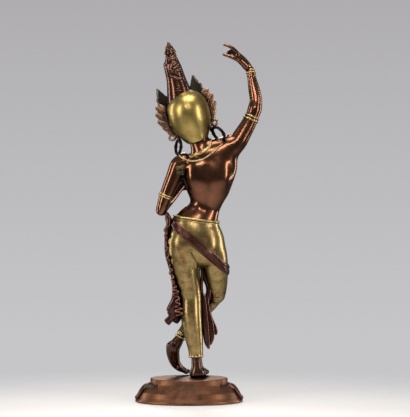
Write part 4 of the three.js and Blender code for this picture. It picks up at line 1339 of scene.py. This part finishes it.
class Piece:
    """One modelled piece: its clay, the frame it was modelled in, its finish and the solid it is for."""

    def __init__(self, name, clay, finish, slot, frame_matrix=None, node="goddess_figure"):
        self.name, self.clay, self.finish, self.slot, self.node = name, clay, finish, slot, node
        self.matrix = np.eye(4) if frame_matrix is None else frame_matrix
        corners = list(product(*zip(clay.low, clay.low + clay.grain * (clay.shape - 1))))
        inside = placed(self.matrix, corners)
        first, last = whole.window(inside.min(0), inside.max(0))
        grid = np.stack(np.meshgrid(*(axis.ravel() for axis in whole.axes(first, last)), indexing="ij"), -1)
        points = placed(np.linalg.inv(self.matrix), grid.reshape(-1, 3))
        top = clay.low + clay.grain * (clay.shape - 1)
        held = ((points >= clay.low) & (points <= top)).all(1)
        depth = np.full(len(points), FAR)
        depth[held] = clay.sample(points[held])
        where = tuple(slice(*ends) for ends in zip(first, last))
        whole.depth[where] = np.minimum(whole.depth[where], depth.reshape(grid.shape[:3]))

    def cast(self):
        """The piece as a mesh with its wear and its painted shade, riding on the part."""
        points, faces = self.clay.skin()
        normals = self.clay.slope(points)
        normals /= np.maximum(np.linalg.norm(normals, axis=1, keepdims=True), 1e-6)
        bulge = self.clay.curvature(points, max(1.1, 1.8 * self.clay.grain))[:, None]
        for _ in range(2):
            bulge = neighbours_mean(bulge, faces)
        bulge = bulge[:, 0]
        points = placed(self.matrix, points)
        normals = normals @ self.matrix[:3, :3].T
        # Darkness for the hollows: concave creases hold dark patina and dirt, and the closed-in test out to
        # 11 mm paints shade in corners, between parts and under overhangs such as the head over the neck
        hollow_dirt_and_shade = (-bulge / 0.9).clip(0, 1) * 0.8
        for reach, weight in ((1.6, 0.5), (3.2, 0.6), (6.0, 0.5), (11.0, 0.35)):
            room = whole.sample(points + normals * reach) / reach
            hollow_dirt_and_shade += weight * (0.75 - room).clip(0, 1)
        worn = ((bulge - 0.4) / 0.9).clip(0, 1) * (1 - hollow_dirt_and_shade.clip(0, 1))
        mesh = bpy.data.meshes.new(self.name)
        mesh.vertices.add(len(points))
        mesh.vertices.foreach_set("co", ((points + (0, 0, SOLES)) * MM).astype(np.float32).ravel())
        mesh.loops.add(faces.size)
        mesh.loops.foreach_set("vertex_index", faces.astype(np.int32).ravel())
        mesh.polygons.add(len(faces))
        mesh.polygons.foreach_set("loop_start", np.arange(0, faces.size, 4, dtype=np.int32))
        mesh.polygons.foreach_set("use_smooth", np.ones(len(faces), bool))
        mesh.update()
        mesh.validate()
        for key, values in (("hollow_dirt_and_shade", hollow_dirt_and_shade.clip(0, 1)), ("worn", worn)):
            mesh.attributes.new(key, "FLOAT", "POINT").data.foreach_set("value", values.astype(np.float32))
        mesh.materials.append(self.finish)
        made = bpy.data.objects.new(self.name, mesh)
        bpy.context.collection.objects.link(made)
        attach(made, "root")
        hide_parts(self.node)
        return made


skin_clay = body()
cloth_clay = lower_cloth()
feet_clay = feet()
hand_clay = breast_hand()
pieces = [
    Piece("torso_and_arms", skin_clay, BROWNED_COPPER, "patinated_copper"),
    Piece("raised_hand", raised_hand(), BROWNED_COPPER, "patinated_copper"),
    Piece("breast_hand", hand_clay, BROWNED_COPPER, "patinated_copper"),
    Piece("feet", feet_clay, DARKENED_COPPER, "patinated_copper"),
    Piece("face_and_ears", face_and_ears(), BROWNED_COPPER, "patinated_copper", HEAD),
    Piece("hair_cap", hair_cap(), RUBBED_GILDING, "gilded_copper", HEAD),
    Piece("hair_knot", hair_knot(), HAIR_COPPER, "dark_copper"),
    Piece("finial", finial(), HAIR_COPPER, "dark_copper"),
    Piece("crown", crown(), CROWN_COPPER, "dark_copper", HEAD),
    Piece("left_ear_fan", ear_fan(1), FEATHER_COPPER, "dark_copper", HEAD),
    Piece("right_ear_fan", ear_fan(-1), FEATHER_COPPER, "dark_copper", HEAD),
    Piece("lower_cloth", cloth_clay, PUNCHED_CLOTH, "gilded_copper"),
    Piece("belt", belt(cloth_clay), RUBBED_GILDING, "gilded_copper"),
    Piece("belt_festoons", festoons(cloth_clay), RUBBED_GILDING, "gilded_copper"),
    Piece("hip_scarf", hip_scarf(cloth_clay), SCARF_COPPER, "dark_copper"),
    Piece("left_scarf_end", left_scarf_end(), SCARF_COPPER, "dark_copper"),
    Piece("right_skirt_end", right_skirt_end(), SCARF_COPPER, "dark_copper"),
    Piece("shoulder_stump", shoulder_stump(), GREENED_COPPER, "patinated_copper"),
    Piece("necklaces", necklaces(skin_clay), RUBBED_GILDING, "gilded_copper"),
    Piece("anklet", anklet(feet_clay), RUBBED_GILDING, "gilded_copper"),
    Piece("lotus_base", pedestal(), RED_COPPER, "red_copper", moved(0, 0, -SOLES), "lotus_pedestal"),
]
for name, *band in (
    ("right_armlet", skin_clay, RIGHT_UPPER_ARM, 0.785, 1.6, 2, True),
    ("left_armlet", skin_clay, LEFT_UPPER_ARM, 0.66, 1.0, 2, True),
    ("right_bracelet", skin_clay, RIGHT_FOREARM, 0.965, 1.6, 2),
    ("left_bracelet", hand_clay, BREAST_PALM, 0.3, 1.4, 2),
):
    pieces.append(Piece(name, arm_band(*band), RUBBED_GILDING, "gilded_copper"))
for name, (middle, axis, radius) in zip(("left_earring", "right_earring"), EARRINGS):
    pieces.append(Piece(name, earring(middle, axis, radius), BLACK_COPPER, "dark_copper"))
for piece in pieces:
    piece.cast()


# Studio: a pale floor that fades into a grey backdrop, soft boxes at both sides and above, and the camera

def floor():
    """A pale disc whose edge fades out."""
    rings, sides, radius = 12, 96, 0.64
    points = [(0, 0, 0)]
    faces = []
    for r in range(1, rings + 1):
        for s in range(sides):
            angle = 2 * math.pi * s / sides
            points.append((radius * r / rings * math.cos(angle), radius * r / rings * math.sin(angle), 0))
    for s in range(sides):
        faces.append((0, 1 + s, 1 + (s + 1) % sides))
    for r in range(rings - 1):
        a, b = 1 + r * sides, 1 + (r + 1) * sides
        faces += [(a + s, b + s, b + (s + 1) % sides, a + (s + 1) % sides) for s in range(sides)]
    mesh = bpy.data.meshes.new("floor")
    mesh.from_pydata(points, [], faces)
    material, tree = new_material("pale studio floor")
    place = add_node(tree, "TexCoord").outputs["Object"]
    away = add_node(tree, "VectorMath", {0: place}, operation="LENGTH")
    fade = add_node(tree, "MapRange", {0: away.outputs["Value"], 1: 0.08, 2: 0.62, 3: 1.0, 4: 0.0},
                    interpolation_type="SMOOTHSTEP")
    paper = add_node(tree, "TexNoise", {"Vector": place, "Scale": per_mm(3.0), "Detail": 3.0})
    tone = add_node(tree, "Mix",
                    {0: paper.outputs["Fac"], 6: hex_colour("#e6e6e8"), 7: hex_colour("#ececee")},
                    data_type="RGBA")
    surface = add_node(tree, "BsdfPrincipled",
                       {"Base Color": tone.outputs[2], "Roughness": 0.6, "Alpha": fade.outputs[0]})
    add_node(tree, "OutputMaterial", {"Surface": surface.outputs[0]})
    mesh.materials.append(material)
    made = bpy.data.objects.new("floor", mesh)
    bpy.context.collection.objects.link(made)
    made.location = (0, 0.3, -0.0002)


def soft_box(name, direction, distance, size, power, colour):
    """A rectangular light that looks at the middle of the statue from this direction."""
    aim = Vector((-0.016, 0, 0.18))
    lamp = bpy.data.lights.new(name, "AREA")
    lamp.shape = "RECTANGLE"
    lamp.size, lamp.size_y = size
    lamp.energy = power
    lamp.color = hex_colour(colour)[:3]
    made = bpy.data.objects.new(name, lamp)
    way = Vector(direction).normalized()
    made.location = aim + way * distance
    made.rotation_euler = way.to_track_quat("Z", "Y").to_euler()
    bpy.context.collection.objects.link(made)


def backdrop():
    """Grey that lightens downwards behind the object; what the metal mirrors is dimmer."""
    world = bpy.data.worlds.new("studio")
    bpy.context.scene.world = world
    world.use_nodes = True
    tree = world.node_tree
    tree.nodes.clear()
    way = add_node(tree, "TexCoord").outputs["Generated"]
    height = add_node(tree, "SeparateXYZ", {0: way}).outputs["Z"]
    seen_share = add_node(tree, "MapRange", {0: height, 1: -0.1, 2: 0.03})
    seen = add_node(tree, "Mix",
                    {0: seen_share.outputs[0], 6: hex_colour("#c6c6c8"), 7: hex_colour("#aeacaf")},
                    data_type="RGBA")
    room_share = add_node(tree, "MapRange", {0: height, 1: -0.2, 2: 0.9})
    room = add_node(tree, "Mix",
                    {0: room_share.outputs[0], 6: hex_colour("#5c5a58"), 7: hex_colour("#8c8a88")},
                    data_type="RGBA")
    camera_ray = add_node(tree, "LightPath").outputs["Is Camera Ray"]
    both = add_node(tree, "Mix", {0: camera_ray, 6: room.outputs[2], 7: seen.outputs[2]}, data_type="RGBA")
    glow = add_node(tree, "Background", {"Color": both.outputs[2], "Strength": 1.0})
    add_node(tree, "OutputWorld", {"Surface": glow.outputs[0]})


def camera():
    """Behind the figure and three degrees up, one pixel to a millimetre of the figure."""
    away, rise = 2.7, math.radians(3)
    aim = Vector((-0.016, 0, 0.1939))
    lens = bpy.data.cameras.new("camera")
    lens.sensor_width = 36.0
    lens.lens = 36.0 * away / 0.417
    made = bpy.data.objects.new("camera", lens)
    way = Vector((0, math.cos(rise), math.sin(rise)))
    made.location = aim + way * away
    made.rotation_euler = way.to_track_quat("Z", "Y").to_euler()
    bpy.context.collection.objects.link(made)
    bpy.context.scene.camera = made


floor()
backdrop()
soft_box("left box", (0.82, 0.57, 0.2), 1.3, (0.16, 0.9), 6.6, "#fff8ee")
soft_box("right box", (-0.84, 0.54, 0.2), 1.3, (0.16, 0.9), 6.6, "#fff8ee")
soft_box("left rim", (0.94, -0.3, 0.1), 1.4, (0.14, 1.1), 6.5, "#fffaf4")
soft_box("right rim", (-0.94, -0.3, 0.1), 1.4, (0.14, 1.1), 8, "#fffaf4")
soft_box("back box", (0.05, 0.8, 0.52), 1.4, (0.6, 0.12), 4.2, "#fff8f0")
soft_box("top box", (0, 0.2, 1), 1.2, (0.8, 0.6), 13, "#fff8f0")
soft_box("front box", (0.1, -0.9, 0.5), 1.5, (0.5, 0.5), 6, "#fff8f0")
camera()
bpy.context.scene.view_settings.view_transform = "Standard"
